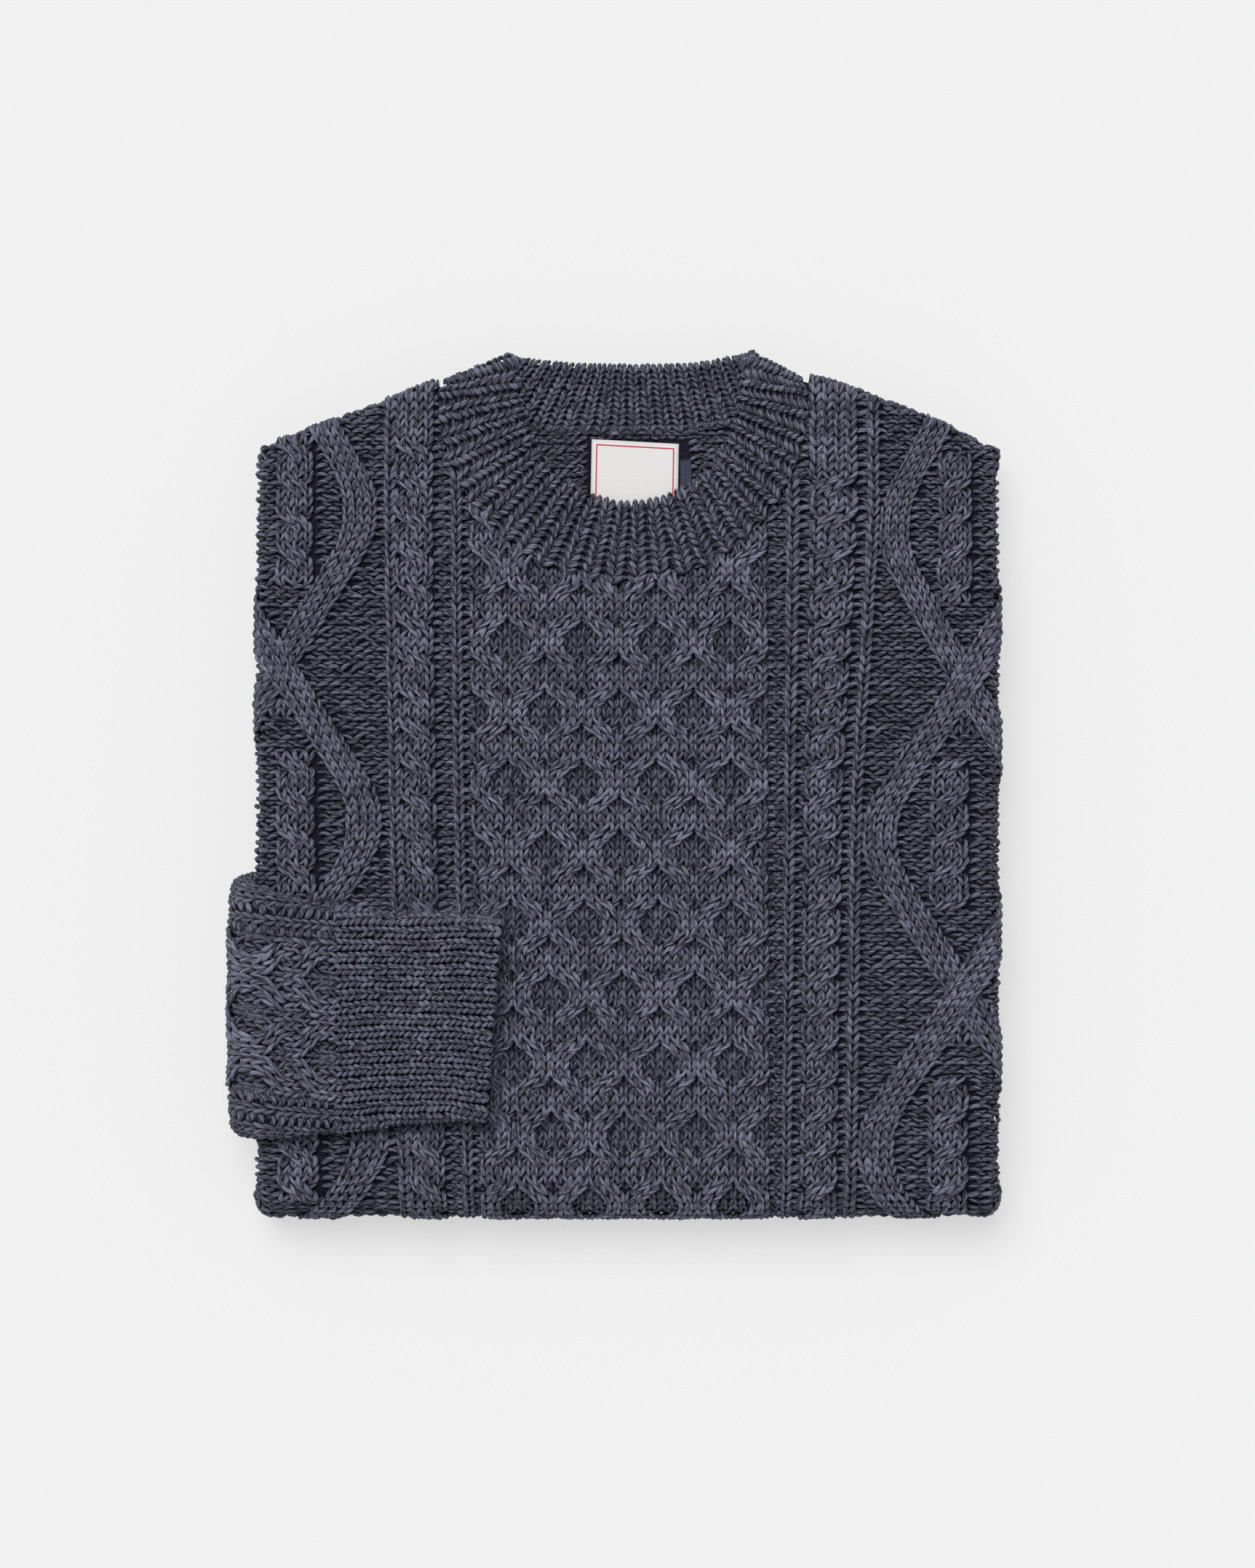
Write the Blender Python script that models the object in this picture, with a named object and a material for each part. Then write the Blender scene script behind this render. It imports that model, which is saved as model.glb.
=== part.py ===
"""A cable-knit aran sweater folded flat, as a Blender script.

The front panel runs over the top of the fold, round its bottom fold and back under it. Its sides roll
under along the whole length. Inside lie the back panel and the hidden layers, one rounded solid with
layered edges. The left sleeve comes out between the layers, turns up round the left roll and lies on
the front, with its cuff. The neckband is one ring that turns over at both shoulders.

X runs across the sweater, Y from the bottom fold to the neck and Z up. Every size below is in
millimetres and becomes metres when a mesh is made.
"""
import math

import bpy
import bmesh

for thing in list(bpy.data.objects):
    bpy.data.objects.remove(thing, do_unlink=True)

MM = 0.001

# Driving sizes of the folded sweater
STACK_HEIGHT = 46.0
SHOULDER_HEIGHT = 31.0
SHOULDER_SLOPE_START = 290.0
NECK_TOP = 430.0
HEM_EDGE = 368.0
SEAM_GAP = 0.3
SHEET_GAP = 0.5

# Knitting: the height of one row, the width of one stitch in the rolls, and a cable's crossings
ROW = 4.36
ROLL_STITCH = 4.7
CROSSING_STEP = 4 * ROW
FIRST_CROSSING = 14.0
CABLE_RISE = 3.0
RIB_RISE = 2.0

# Front panel
WALL = 5.0
FOLD_RADIUS = STACK_HEIGHT / 2
ROLL_RADIUS = 7.5
ROLL_CENTRE = 175.5
LIP = 12.0
ROLL_TOP = 382.0
ROLL_TOP_FALL = 14.0
ROLL_PARTS = 5
FOLD_PARTS = 8
INNER_COLUMN_STEP = 2
SLOPE_PARTS = 4

# Back panel: its wall, the places across it and the heights of its points below the shoulder
BACK_WALL = 4.0
BACK_MIDDLE = [-80, -68, -56, -48, -36, -18, 0, 18, 34, 46, 56, 68, 80]
BACK_PLACES = [-158, -140, -120, -104, -92] + BACK_MIDDLE + [92, 104, 120, 140, 158]
BACK_LEVELS = [30.0, 160.0, SHOULDER_SLOPE_START, 330.0, 360.0]
BACK_LAST_LEVEL = 380.0

# Stitch columns that were measured: the stitch number and its place at three heights
COLUMN_HEIGHTS = (0.0, 206.0, 350.0)
KEY_COLUMNS = [
    # stitch, x at the bottom fold, x at mid height, x at the neck
    (-39.2, -184.3, -184.3, -184.3),
    (-24.5, -109.8, -115.2, -118.1),
    (-17.5, -78.5, -83.5, -85.0),
    (-16.0, -72.4, -77.4, -78.5),
    (16.0, 70.2, 69.1, 69.1),
    (18.5, 78.1, 79.9, 81.7),
    (25.5, 109.8, 113.0, 122.4),
    (40.7, 184.3, 184.3, 184.3),
]

# Knit columns, ropes and diamonds, placed by stitch number
RIB_COLUMNS = (-24.5, -17.5, 18.5, 25.5)
LATTICE_ROPES = (-14, -10, -6, -2, 2, 6, 10, 14)
LATTICE_TURNS = (1, 1, -1, -1)
SIDE_ROPES = [
    # stitch at the middle, way the front strand leans going up
    (-22.0, -1),
    (22.0, 1),
]
DIAMONDS = [
    # stitch at the middle, y of one crossing, stitch of the small rope inside, its lean
    (-36.6, 273.0, -35.0, -1),
    (36.8, 265.0, 35.3, 1),
]
DIAMOND_REPEAT = 154.0
DIAMOND_REACH = 8.8
DIAMOND_TIP = 12.0
DIAMOND_STRAND = 1.7
INNER_ROPE_REACH = 36.0

# Neck: two ellipses about one centre height, and the points where the band folds over
NECK_HEIGHT = 408.0
SEAM_ELLIPSE = {"centre": -2.0, "across": 92.0, "down": 94.0}
FREE_ELLIPSE = {"centre": 1.0, "across": 56.0, "down": 55.5}
BAND_WALL = 4.0
BAND_SINK = 0.3
BAND_WAVE = 0.7
BAND_RIB = 6.7
FRONT_BAND_RIBS = 28
FOLD_LINES = {
    # side: seam point and free-edge point of the neckband's fold
    "left": ((-91.0, 416.0), (-59.0, 428.5)),
    "right": ((86.0, 417.5), (61.0, 430.0)),
}
BACK_BAND = [
    # seam x, seam y, free edge x, free edge y
    (-75.0, 403.0, -51.5, 425.5),
    (-56.0, 393.0, -38.0, 423.5),
    (-36.0, 390.5, -22.0, 422.3),
    (0.0, 390.5, 0.0, 422.0),
    (30.0, 391.0, 24.0, 422.3),
    (52.0, 394.0, 42.0, 424.0),
    (70.0, 403.0, 54.0, 427.0),
]

# Outline of the shoulders, from the left roll to the neckband and on the right side
SHOULDER_LEFT = [(-184.0, 372.0), (-176.0, 383.5), (-148.7, 393.5), (-109.0, 408.6), (-91.0, 416.0)]
SHOULDER_RIGHT = [(86.0, 417.5), (103.3, 413.0), (139.3, 400.7), (173.5, 384.5), (184.0, 372.0)]

# Label and the strip of navy tape behind it, as corner points on the back panel
LABEL_CORNERS = ((-18.7, 350.0), (24.8, 348.5), (25.4, 383.6), (-18.0, 386.0))
TAPE_CORNERS = ((25.8, 352.0), (33.0, 354.0), (31.5, 376.5), (25.8, 375.5))
LABEL_THICKNESS = 0.6

# Sleeve: a flattened tube that follows a line round the left roll
SLEEVE_THICKNESS = 12.0
SLEEVE_TURN = 9.3
SLEEVE_TURN_PARTS = 10
SLEEVE_INNER_END = -163.0
CUFF_START = -143.0
CUFF_END = -63.0
CUFF_SLANT = 7.0
SLIT = 1.4
PRESSED = 0.4
SLEEVE_EDGES = [
    # distance along the line from the start of the turn, lower y, upper y
    (-14.0, 38.0, 172.0),
    (0.0, 39.0, 171.0),
    (24.0, 40.7, 167.8),
    (48.0, 39.5, 161.0),
    (80.7, 43.5, 151.6),
    (113.0, 48.6, 148.0),
    (142.0, 50.0, 148.0),
    (166.0, 49.7, 143.3),
]
SLEEVE_STITCH = 4.9
CUFF_RIBS = 16
CUFF_FLAT_SHARE = 0.88
CUFF_WAVE = 0.9

# Hidden layers: half widths of the core and of the two edges between the rolls, by height
LAYER_SECTIONS = [
    # y, core, left edge, right edge, lowest z, edge underside, edge top and core top below the front
    (6.2, 157.0, 158.0, 158.0, 20.0, 21.5, 21.5, 20.0),
    (9.4, 157.5, 158.5, 158.5, 13.2, 20.5, 20.5, 13.4),
    (15.8, 158.0, 160.0, 160.0, 7.6, 20.5, 20.5, 10.6),
    (17.0, 158.0, 172.0, 172.0, 7.2, 19.0, 19.0, 10.4),
    (19.0, 158.0, 176.0, 176.0, 6.6, 17.0, 17.0, 10.2),
    (24.0, 158.0, 181.0, 181.0, 5.9, 15.6, 15.6, 10.0),
    (33.0, 158.0, 181.5, 180.5, 5.3, 15.4, 15.4, 10.0),
    (35.5, 158.0, 160.0, 180.0, 5.3, 15.4, 15.4, 10.0),
    (100.0, 158.0, 160.0, 181.5, 5.3, 15.4, 15.4, 10.0),
    (174.5, 158.0, 160.0, 180.0, 5.3, 15.4, 15.4, 10.0),
    (177.0, 158.0, 180.5, 180.5, 5.3, 15.4, 15.4, 10.0),
    (230.0, 158.0, 179.0, 181.5, 5.3, 15.4, 15.4, 10.0),
    (290.0, 158.0, 181.5, 180.0, 5.3, 15.4, 15.6, 10.2),
    (310.0, 158.0, 181.0, 180.5, 5.3, 15.4, 15.8, 10.3),
    (330.0, 158.0, 180.5, 181.0, 5.3, 15.4, 15.8, 10.3),
    (346.0, 157.5, 179.0, 180.0, 5.3, 15.4, 15.8, 10.3),
    (360.0, 157.0, 178.0, 178.0, 5.3, 15.4, 15.8, 10.3),
    (369.0, 154.0, 172.0, 172.0, 5.5, 15.4, 15.9, 10.3),
    (378.0, 150.0, 164.0, 164.0, 6.5, 11.0, 16.0, 10.3),
    (396.0, 122.0, 132.0, 130.0, 7.0, 10.5, 15.5, 10.3),
    (410.0, 84.0, 92.0, 90.0, 8.0, 10.5, 14.5, 10.3),
    (419.0, 58.0, 64.0, 64.0, 11.0, 12.5, 15.5, 12.5),
]
LAYER_GROOVE = 3.5

YARN = (0.105, 0.125, 0.195, 1.0)
YARN_SHADE = (0.07, 0.08, 0.125, 1.0)
WHITE = (0.86, 0.86, 0.85, 1.0)
NAVY = (0.01, 0.02, 0.09, 1.0)


def clamp(value, low=0.0, high=1.0):
    """Hold a value between two limits."""
    return max(low, min(high, value))


def smooth(value):
    """Ease from 0 to 1."""
    held = clamp(value)
    return held * held * (3 - 2 * held)


def along(points, x):
    """Read the second column of a table at a place in its first column."""
    for (x0, y0), (x1, y1) in zip(points, points[1:]):
        if x <= x1:
            return y0 + (y1 - y0) * clamp((x - x0) / (x1 - x0))
    return points[-1][1]


def key_places(y):
    """List the measured columns at a height: stitch number and place across the panel."""
    low, middle, high = COLUMN_HEIGHTS
    held = clamp(y, low, high)
    places = []
    for number, x_low, x_middle, x_high in KEY_COLUMNS:
        places.append((number, along([(low, x_low), (middle, x_middle), (high, x_high)], held)))
    return places


def column_x(stitch, y):
    """Give the place across the panel of a stitch number at a height."""
    return along(key_places(y), stitch)


def column_stitch(x, y):
    """Give the stitch number at a place across the panel."""
    return along([(place, number) for number, place in key_places(y)], x)


def top_height(y):
    """Give the height of the front's outer face: level, then falling towards the shoulders."""
    fall = smooth((y - SHOULDER_SLOPE_START) / (NECK_TOP - SHOULDER_SLOPE_START))
    return STACK_HEIGHT - (STACK_HEIGHT - SHOULDER_HEIGHT) * fall


def strand(distance, half_width, rise):
    """Give the rise of a rounded strand at a distance from its middle."""
    return rise * max(0.0, 1 - (distance / half_width) ** 2)


def rope(stitch, y, middle, turns, half=1.0):
    """Give the rise of two strands that cross every four rows, the leading one in front."""
    beat = (y - FIRST_CROSSING) / CROSSING_STEP
    crossing = round(beat)
    phase = (beat - crossing) * math.pi
    turn = turns[crossing % len(turns)]
    lead = math.sin(phase) * turn * half
    front = strand(stitch - middle - lead, 1.05 * half, CABLE_RISE * (0.8 + 0.3 * math.cos(phase)))
    back = strand(stitch - middle + lead, 1.05 * half, CABLE_RISE * (0.8 - 0.6 * math.cos(phase)))
    return max(front, back)


def diamond(stitch, y, middle, crossing, inner, lean):
    """Give the rise of a diamond's two strands and of the small rope inside it."""
    beat = (y - crossing) / DIAMOND_REPEAT
    from_crossing = abs(beat - round(beat)) * DIAMOND_REPEAT
    reach = DIAMOND_REACH * min(1.0, from_crossing / (DIAMOND_REPEAT / 2 - DIAMOND_TIP))
    edge = max(
        strand(stitch - middle - reach, DIAMOND_STRAND, CABLE_RISE),
        strand(stitch - middle + reach, DIAMOND_STRAND, CABLE_RISE),
    )
    if from_crossing > DIAMOND_REPEAT / 2 - INNER_ROPE_REACH:
        edge = max(edge, rope(stitch, y, inner, (lean,)))
    return edge


def relief(stitch, y):
    """Give how far the cables and knit columns stand out of the front panel."""
    rise = 0.0
    for middle in RIB_COLUMNS:
        rise = max(rise, strand(stitch - middle, 0.5, RIB_RISE))
    for index, middle in enumerate(LATTICE_ROPES):
        way = 1 if index % 2 == 0 else -1
        rise = max(rise, rope(stitch, y, middle, tuple(way * turn for turn in LATTICE_TURNS)))
    for middle, lean in SIDE_ROPES:
        rise = max(rise, rope(stitch, y, middle, (lean,)))
    for row in DIAMONDS:
        rise = max(rise, diamond(stitch, y, *row))
    return rise


def under_sleeve(x, y):
    """Tell how much the sleeve presses the cables below it, from 0 to 1."""
    across = smooth((CUFF_END + 3 - x) / 4)
    low = smooth((y - 40) / 6)
    high = smooth((162 - y) / 8)
    return across * low * high


def fold_line(v):
    """Give y, z and the outward direction of the front panel's fold at a length v along it."""
    if v >= FOLD_RADIUS:
        return v, top_height(v), 0.0, 1.0
    angle = (FOLD_RADIUS - v) / FOLD_RADIUS
    if angle <= math.pi:
        out_y, out_z = -math.sin(angle), math.cos(angle)
        return FOLD_RADIUS * (1 + out_y), FOLD_RADIUS * (1 + out_z), out_y, out_z
    return FOLD_RADIUS + (angle - math.pi) * FOLD_RADIUS, 0.0, 0.0, -1.0


def panel_point(column, v, inward):
    """Place one point of the front panel: a column across it, a length along its fold, a depth."""
    side, place, arc = column
    y, z, out_y, out_z = fold_line(v)
    if side == 0:
        x, depth, turn = column_x(place, max(v, 0.0)), 0.0, 0.0
        stitch = place
    else:
        turn = min(arc / ROLL_RADIUS, math.pi)
        lip = max(0.0, arc - ROLL_RADIUS * math.pi)
        x = side * (ROLL_CENTRE + ROLL_RADIUS * math.sin(turn) - lip)
        depth = ROLL_RADIUS * (1 - math.cos(turn))
        stitch = column_stitch(side * ROLL_CENTRE, max(v, 0.0)) + side * arc / ROLL_STITCH
    if inward:
        rise = -WALL
    else:
        pressed = 1 - (1 - PRESSED) * max(under_sleeve(x, v), 0.5 * clamp(depth))
        rise = relief(stitch, v) * clamp(z / 8) * pressed * clamp(1 - depth / (1.5 * ROLL_RADIUS))
    x += side * rise * math.sin(turn)
    reach = rise * math.cos(turn) - depth
    return x, y + out_y * reach, z + out_z * reach


def shoulder_y(x):
    """Give the height of the shoulder outline at a place across."""
    if x < 0:
        return along(SHOULDER_LEFT, x)
    return along(SHOULDER_RIGHT, x)


def neck_seam_y(x):
    """Give the height of the neck seam, or of the shoulder outside it."""
    across = (x - SEAM_ELLIPSE["centre"]) / SEAM_ELLIPSE["across"]
    if abs(across) >= 1:
        return shoulder_y(x)
    return NECK_HEIGHT - SEAM_ELLIPSE["down"] * math.sqrt(1 - across * across)


def panel_columns():
    """List the front panel's columns from the left lip to the right lip."""
    lattice = list(range(-16, 17))
    left = [-36, -35, -34, -33, -32, -31, -30, -29, -28, -27, -26]
    left += [-25, -24.5, -24, -23, -22, -21, -20, -18, -17.5, -17]
    right = [18, 18.5, 19, 20, 21, 22, 23, 24, 25, 25.5, 26]
    right += [27, 28, 29, 30, 31, 32, 33, 34, 35, 36, 37, 38]
    half_turn = ROLL_RADIUS * math.pi
    arcs = [half_turn * part / ROLL_PARTS for part in range(ROLL_PARTS + 1)] + [half_turn + LIP]
    columns = [(-1, 0, arc) for arc in reversed(arcs)]
    columns += [(0, stitch, 0) for stitch in left + lattice + right]
    columns += [(1, 0, arc) for arc in arcs]
    return columns


def panel_top(column):
    """Give the length along the fold at which a column ends."""
    side, place, arc = column
    if side:
        return ROLL_TOP - ROLL_TOP_FALL * smooth(arc / (ROLL_RADIUS * math.pi))
    x = column_x(place, 350.0)
    for _ in range(6):
        x = column_x(place, neck_seam_y(x))
    return neck_seam_y(x)


def upright_strip(faces, short, tall):
    """Join two columns of points that may differ in length, with a fan at the longer one's end."""
    common = min(len(short), len(tall)) - 1
    if len(short) > len(tall):
        fan = [(tall[common], short[k], short[k + 1]) for k in range(common, len(short) - 1)]
    else:
        fan = [(short[common], tall[k + 1], tall[k]) for k in range(common, len(tall) - 1)]
    faces.extend(fan)
    return common


def closed_wall(outer, inner, falling_diagonal, inner_step):
    """Close a wall between a fine outer sheet and a plain inner one, given as columns of points."""
    points = []
    outer_ids = []
    for column in outer:
        outer_ids.append(list(range(len(points), len(points) + len(column))))
        points.extend(column)
    inner_ids = []
    for column in inner:
        inner_ids.append(list(range(len(points), len(points) + len(column))))
        points.extend(column)
    faces = []
    for index, (a, b) in enumerate(zip(outer_ids, outer_ids[1:])):
        common = upright_strip(faces, a, b)
        for j in range(common):
            corners = (a[j], a[j + 1], b[j + 1], b[j])
            falls = falling_diagonal(index, j)
            if falls is None:
                faces.append(corners)
            elif falls:
                faces.append((a[j], a[j + 1], b[j]))
                faces.append((a[j + 1], b[j + 1], b[j]))
            else:
                faces.append((a[j], a[j + 1], b[j + 1]))
                faces.append((a[j], b[j + 1], b[j]))
    for a, b in zip(inner_ids, inner_ids[1:]):
        for j in range(len(a) - 1):
            faces.append((b[j], b[j + 1], a[j + 1], a[j]))
    spans = range(len(inner_ids) - 1)
    for k in spans:
        first = k * inner_step
        last = min(first + inner_step, len(outer_ids) - 1)
        tops = [outer_ids[i][-1] for i in range(first, last + 1)]
        feet = [outer_ids[i][0] for i in range(first, last + 1)]
        faces.append(tuple(tops) + (inner_ids[k + 1][-1], inner_ids[k][-1]))
        faces.append(tuple(reversed(feet)) + (inner_ids[k][0], inner_ids[k + 1][0]))
    return points, faces, outer_ids, inner_ids


def side_walls(faces, outer_column, inner_column, matches, flip):
    """Close the long edge of a wall where its outer column has more points than its inner one."""
    for k in range(len(inner_column) - 1):
        start, end = matches[k], matches[k + 1]
        face = tuple(outer_column[start:end + 1]) + (inner_column[k + 1], inner_column[k])
        faces.append(tuple(reversed(face)) if flip else face)


def material(name, colour, roughness):
    """Make one plain cloth material."""
    made = bpy.data.materials.new(name)
    made.use_nodes = True
    shader = made.node_tree.nodes["Principled BSDF"]
    shader.inputs["Base Color"].default_value = colour
    shader.inputs["Roughness"].default_value = roughness
    shader.inputs["Metallic"].default_value = 0.0
    return made


def solid(name, points, faces, colour, roughness=0.92):
    """Turn points in millimetres and their faces into one closed object."""
    mesh = bpy.data.meshes.new(name)
    mesh.from_pydata([(x * MM, y * MM, z * MM) for x, y, z in points], [], faces)
    shape = bmesh.new()
    shape.from_mesh(mesh)
    bmesh.ops.recalc_face_normals(shape, faces=shape.faces)
    shape.to_mesh(mesh)
    shape.free()
    mesh.materials.append(material(name + "_cloth", colour, roughness))
    made = bpy.data.objects.new(name, mesh)
    bpy.context.scene.collection.objects.link(made)
    return made


def loft(sections, closed):
    """Join loops of equal length into a skin, closed round or with a face at each end."""
    points = [point for section in sections for point in section]
    size = len(sections[0])
    count = len(sections)
    faces = []
    for i in range(count if closed else count - 1):
        here = i * size
        there = (i + 1) % count * size
        for k in range(size):
            after = (k + 1) % size
            faces.append((here + k, here + after, there + after, there + k))
    if not closed:
        faces.append(tuple(range(size)))
        faces.append(tuple(range((count - 1) * size, count * size)))
    return points, faces


def tube(outer_sections, inner_sections):
    """Join outer and inner loops into a tube that is open at both ends."""
    outer_points, faces = loft(outer_sections, False)
    inner_points, inner_faces = loft(inner_sections, False)
    faces = faces[:-2]
    shift = len(outer_points)
    faces += [tuple(shift + k for k in face) for face in inner_faces[:-2]]
    return outer_points + inner_points, faces


def front_panel():
    """Build the front: one sheet over the top, round the bottom fold and under the stack."""
    columns = panel_columns()
    step = CROSSING_STEP / 2
    first_level = FIRST_CROSSING + step
    levels = [first_level + step * k for k in range(50)]
    fold = [FOLD_RADIUS - math.pi * FOLD_RADIUS * k / FOLD_PARTS for k in range(FOLD_PARTS, 0, -1)]
    underside_end = FOLD_RADIUS - math.pi * FOLD_RADIUS - (HEM_EDGE - FOLD_RADIUS)
    starts = [underside_end] + fold
    places = []
    for column in columns:
        top = panel_top(column)
        places.append(starts + [level for level in levels if level < top - 0.35 * step] + [top])
    outer = [[panel_point(column, v, False) for v in run] for column, run in zip(columns, places)]
    inner_columns = columns[::INNER_COLUMN_STEP]
    inner_starts = starts + [FOLD_RADIUS]
    inner_runs = []
    for column in inner_columns:
        rest = panel_top(column) - SHOULDER_SLOPE_START
        slope = [SHOULDER_SLOPE_START + rest * k / SLOPE_PARTS for k in range(SLOPE_PARTS + 1)]
        inner_runs.append(inner_starts + slope)
    inner = [[panel_point(column, v, True) for v in run] for column, run in zip(inner_columns, inner_runs)]

    def leans_down(index, j):
        """Cut each cell along the diagonal that the strands follow."""
        v0, v1 = places[index][j], places[index][j + 1]
        side0, stitch0, arc0 = columns[index]
        side1, stitch1, arc1 = columns[index + 1]
        if side0 or side1:
            return True
        y = (v0 + v1) / 2
        middle = relief((stitch0 + stitch1) / 2, y)
        falling = (relief(stitch0, v1) + relief(stitch1, v0)) / 2
        rising = (relief(stitch0, v0) + relief(stitch1, v1)) / 2
        return abs(falling - middle) <= abs(rising - middle)

    points, faces, outer_ids, inner_ids = closed_wall(outer, inner, leans_down, INNER_COLUMN_STEP)
    for edge, flip in ((0, False), (-1, True)):
        run = places[edge]
        matches = [min(range(len(run)), key=lambda k: abs(run[k] - v)) for v in inner_runs[edge]]
        side_walls(faces, outer_ids[edge], inner_ids[edge], matches, flip)
    return solid("front_panel", points, faces, YARN)


def back_top(y):
    """Give the height of the back panel's upper face."""
    return top_height(y) - WALL - SHEET_GAP


def back_panel():
    """Build the back, which lies under the front and shows inside the neckband."""
    seam = [(row[0], row[1] - SEAM_GAP - 0.7) for row in BACK_BAND]
    outer = []
    inner = []
    for x in BACK_PLACES:
        top = shoulder_y(x) - 2.0
        if seam[0][0] < x < seam[-1][0]:
            top = along(seam, x)
        elif -91 <= x <= 86:
            top = seam[0][1] + 1.0
        run = BACK_LEVELS + [min(top, BACK_LAST_LEVEL), top + 0.01]
        outer.append([(x, y, back_top(y)) for y in run])
        inner.append([(x, y, back_top(y) - BACK_WALL) for y in run])
    points, faces, outer_ids, inner_ids = closed_wall(outer, inner, lambda i, j: None, 1)
    matches = list(range(len(inner_ids[0])))
    side_walls(faces, outer_ids[0], inner_ids[0], matches, False)
    side_walls(faces, outer_ids[-1], inner_ids[-1], matches, True)
    return solid("back_panel", points, faces, YARN_SHADE)


def hidden_layers():
    """Build the folded layers that do not show as one solid with layered edges."""
    sections = []
    for y, core, left, right, low, edge_low, edge_depth, core_depth in LAYER_SECTIONS:
        edge_high = top_height(y) - edge_depth
        high = top_height(y) - core_depth
        middle = (edge_low + edge_high) / 2
        quarter = (edge_high - edge_low) / 4
        section = [(-core, low), (core, low), (core, edge_low)]
        groove = min(LAYER_GROOVE, 0.5 * (right - core))
        section += [(right - groove, edge_low), (right, middle - quarter), (right - groove, middle)]
        section += [(right, middle + quarter), (right - groove, edge_high), (core, edge_high)]
        section += [(core, high), (-core, high), (-core, edge_high)]
        groove = min(LAYER_GROOVE, 0.5 * (left - core))
        section += [(groove - left, edge_high), (-left, middle + quarter), (groove - left, middle)]
        section += [(-left, middle - quarter), (groove - left, edge_low), (-core, edge_low)]
        sections.append([(x, y, z) for x, z in section])
    points, faces = loft(sections, False)
    return solid("hidden_layers", points, faces, YARN_SHADE)


def neck_boundary(step):
    """List the end points of the front panel's columns, or of every second one, along the neck."""
    ends = []
    for column in panel_columns()[::step]:
        if column[0]:
            continue
        top = panel_top(column)
        ends.append((column_x(column[1], top), top))
    return ends


def seam_reach(boundary, out_x, out_y):
    """Measure from the seam's centre to the panel's edge in one direction."""
    reach = 1000.0
    for (x0, y0), (x1, y1) in zip(boundary, boundary[1:]):
        x0, x1 = x0 - SEAM_ELLIPSE["centre"], x1 - SEAM_ELLIPSE["centre"]
        y0, y1 = y0 - NECK_HEIGHT, y1 - NECK_HEIGHT
        across = out_x * (y1 - y0) - out_y * (x1 - x0)
        if abs(across) < 1e-9:
            continue
        share = (out_y * x0 - out_x * y0) / across
        distance = (x0 * (y1 - y0) - y0 * (x1 - x0)) / across
        if -1e-6 <= share <= 1 + 1e-6 and distance > 0:
            reach = min(reach, distance)
    return reach


def neckband_lines():
    """List seam point, free point and turn of the ring: 0 at the front, 1 at a fold, 2 at the back."""
    boundaries = [neck_boundary(1), neck_boundary(INNER_COLUMN_STEP)]
    lines = [FOLD_LINES["left"] + (1,)]
    for index in range(2 * FRONT_BAND_RIBS + 1):
        angle = math.pi * (1 + index / (2 * FRONT_BAND_RIBS))
        out_x, out_y = math.cos(angle), math.sin(angle)
        wide = SEAM_ELLIPSE["across"] * out_x, SEAM_ELLIPSE["down"] * out_y
        length = math.hypot(*wide)
        reaches = [seam_reach(boundary, wide[0] / length, wide[1] / length) for boundary in boundaries]
        reach = min([length] + reaches) - 2 * SEAM_GAP
        seam = (
            SEAM_ELLIPSE["centre"] + wide[0] / length * reach,
            NECK_HEIGHT + wide[1] / length * reach,
        )
        free = (
            FREE_ELLIPSE["centre"] + FREE_ELLIPSE["across"] * out_x,
            NECK_HEIGHT + FREE_ELLIPSE["down"] * out_y + 4.0 * abs(out_x) ** 3,
        )
        lines.append((seam, free, 0))
    lines.append(FOLD_LINES["right"] + (1,))
    for seam_x, seam_y, free_x, free_y in reversed(BACK_BAND):
        lines.append(((seam_x, seam_y), (free_x, free_y), 2))
    return lines


def neckband():
    """Build the ribbed neckband: a ring that turns over at both shoulders."""
    lines = neckband_lines()
    stations = []
    for line, after in zip(lines, lines[1:] + lines[:1]):
        middle = [(line[0][k] + line[1][k]) / 2 for k in (0, 1)]
        middle_after = [(after[0][k] + after[1][k]) / 2 for k in (0, 1)]
        parts = max(1, round(2 * math.dist(middle, middle_after) / BAND_RIB))
        for part in range(parts):
            share = part / parts
            seam = [line[0][k] + (after[0][k] - line[0][k]) * share for k in (0, 1)]
            free = [line[1][k] + (after[1][k] - line[1][k]) * share for k in (0, 1)]
            stations.append((seam, free, line[2] + (after[2] - line[2]) * share))
    sections = []
    for index, (seam, free, turn) in enumerate(stations):
        bend = math.pi * clamp(turn / 2)
        front_rise = -BAND_SINK
        back_rise = -BAND_SINK - BAND_WALL - 2 * BAND_WAVE - SHEET_GAP
        level = front_rise + (back_rise - front_rise) * (1 - math.cos(bend)) / 2
        line_x, line_y = free[0] - seam[0], free[1] - seam[1]
        length = math.hypot(line_x, line_y)
        flip = 1 if line_x > 0 else -1
        out_x, out_y = -line_y / length * flip, line_x / length * flip
        push = -math.sin(bend) * BAND_WALL / 2
        wave = BAND_WAVE * (1 if index % 2 else -1) * abs(math.cos(bend))
        half = BAND_WALL / 2
        section = []
        for share, thin in ((0.0, 1.0), (0.5, 1.0), (0.94, 1.0), (1.0, 0.45)):
            x = seam[0] + (free[0] - seam[0]) * share
            y = seam[1] + (free[1] - seam[1]) * share
            section.append((x, y, share, half * thin))
        around = [(x, y, thick) for x, y, _, thick in section]
        around += [(x, y, -thick) for x, y, _, thick in reversed(section)]
        loop = []
        for x, y, offset in around:
            across = math.sin(bend) * offset
            rise = math.cos(bend) * offset + wave
            loop.append((
                x + out_x * (push + across),
                y + out_y * (push + across),
                top_height(y) + level + rise,
            ))
        sections.append(loop)
    points, faces = loft(sections, True)
    return solid("neckband", points, faces, YARN)


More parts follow.
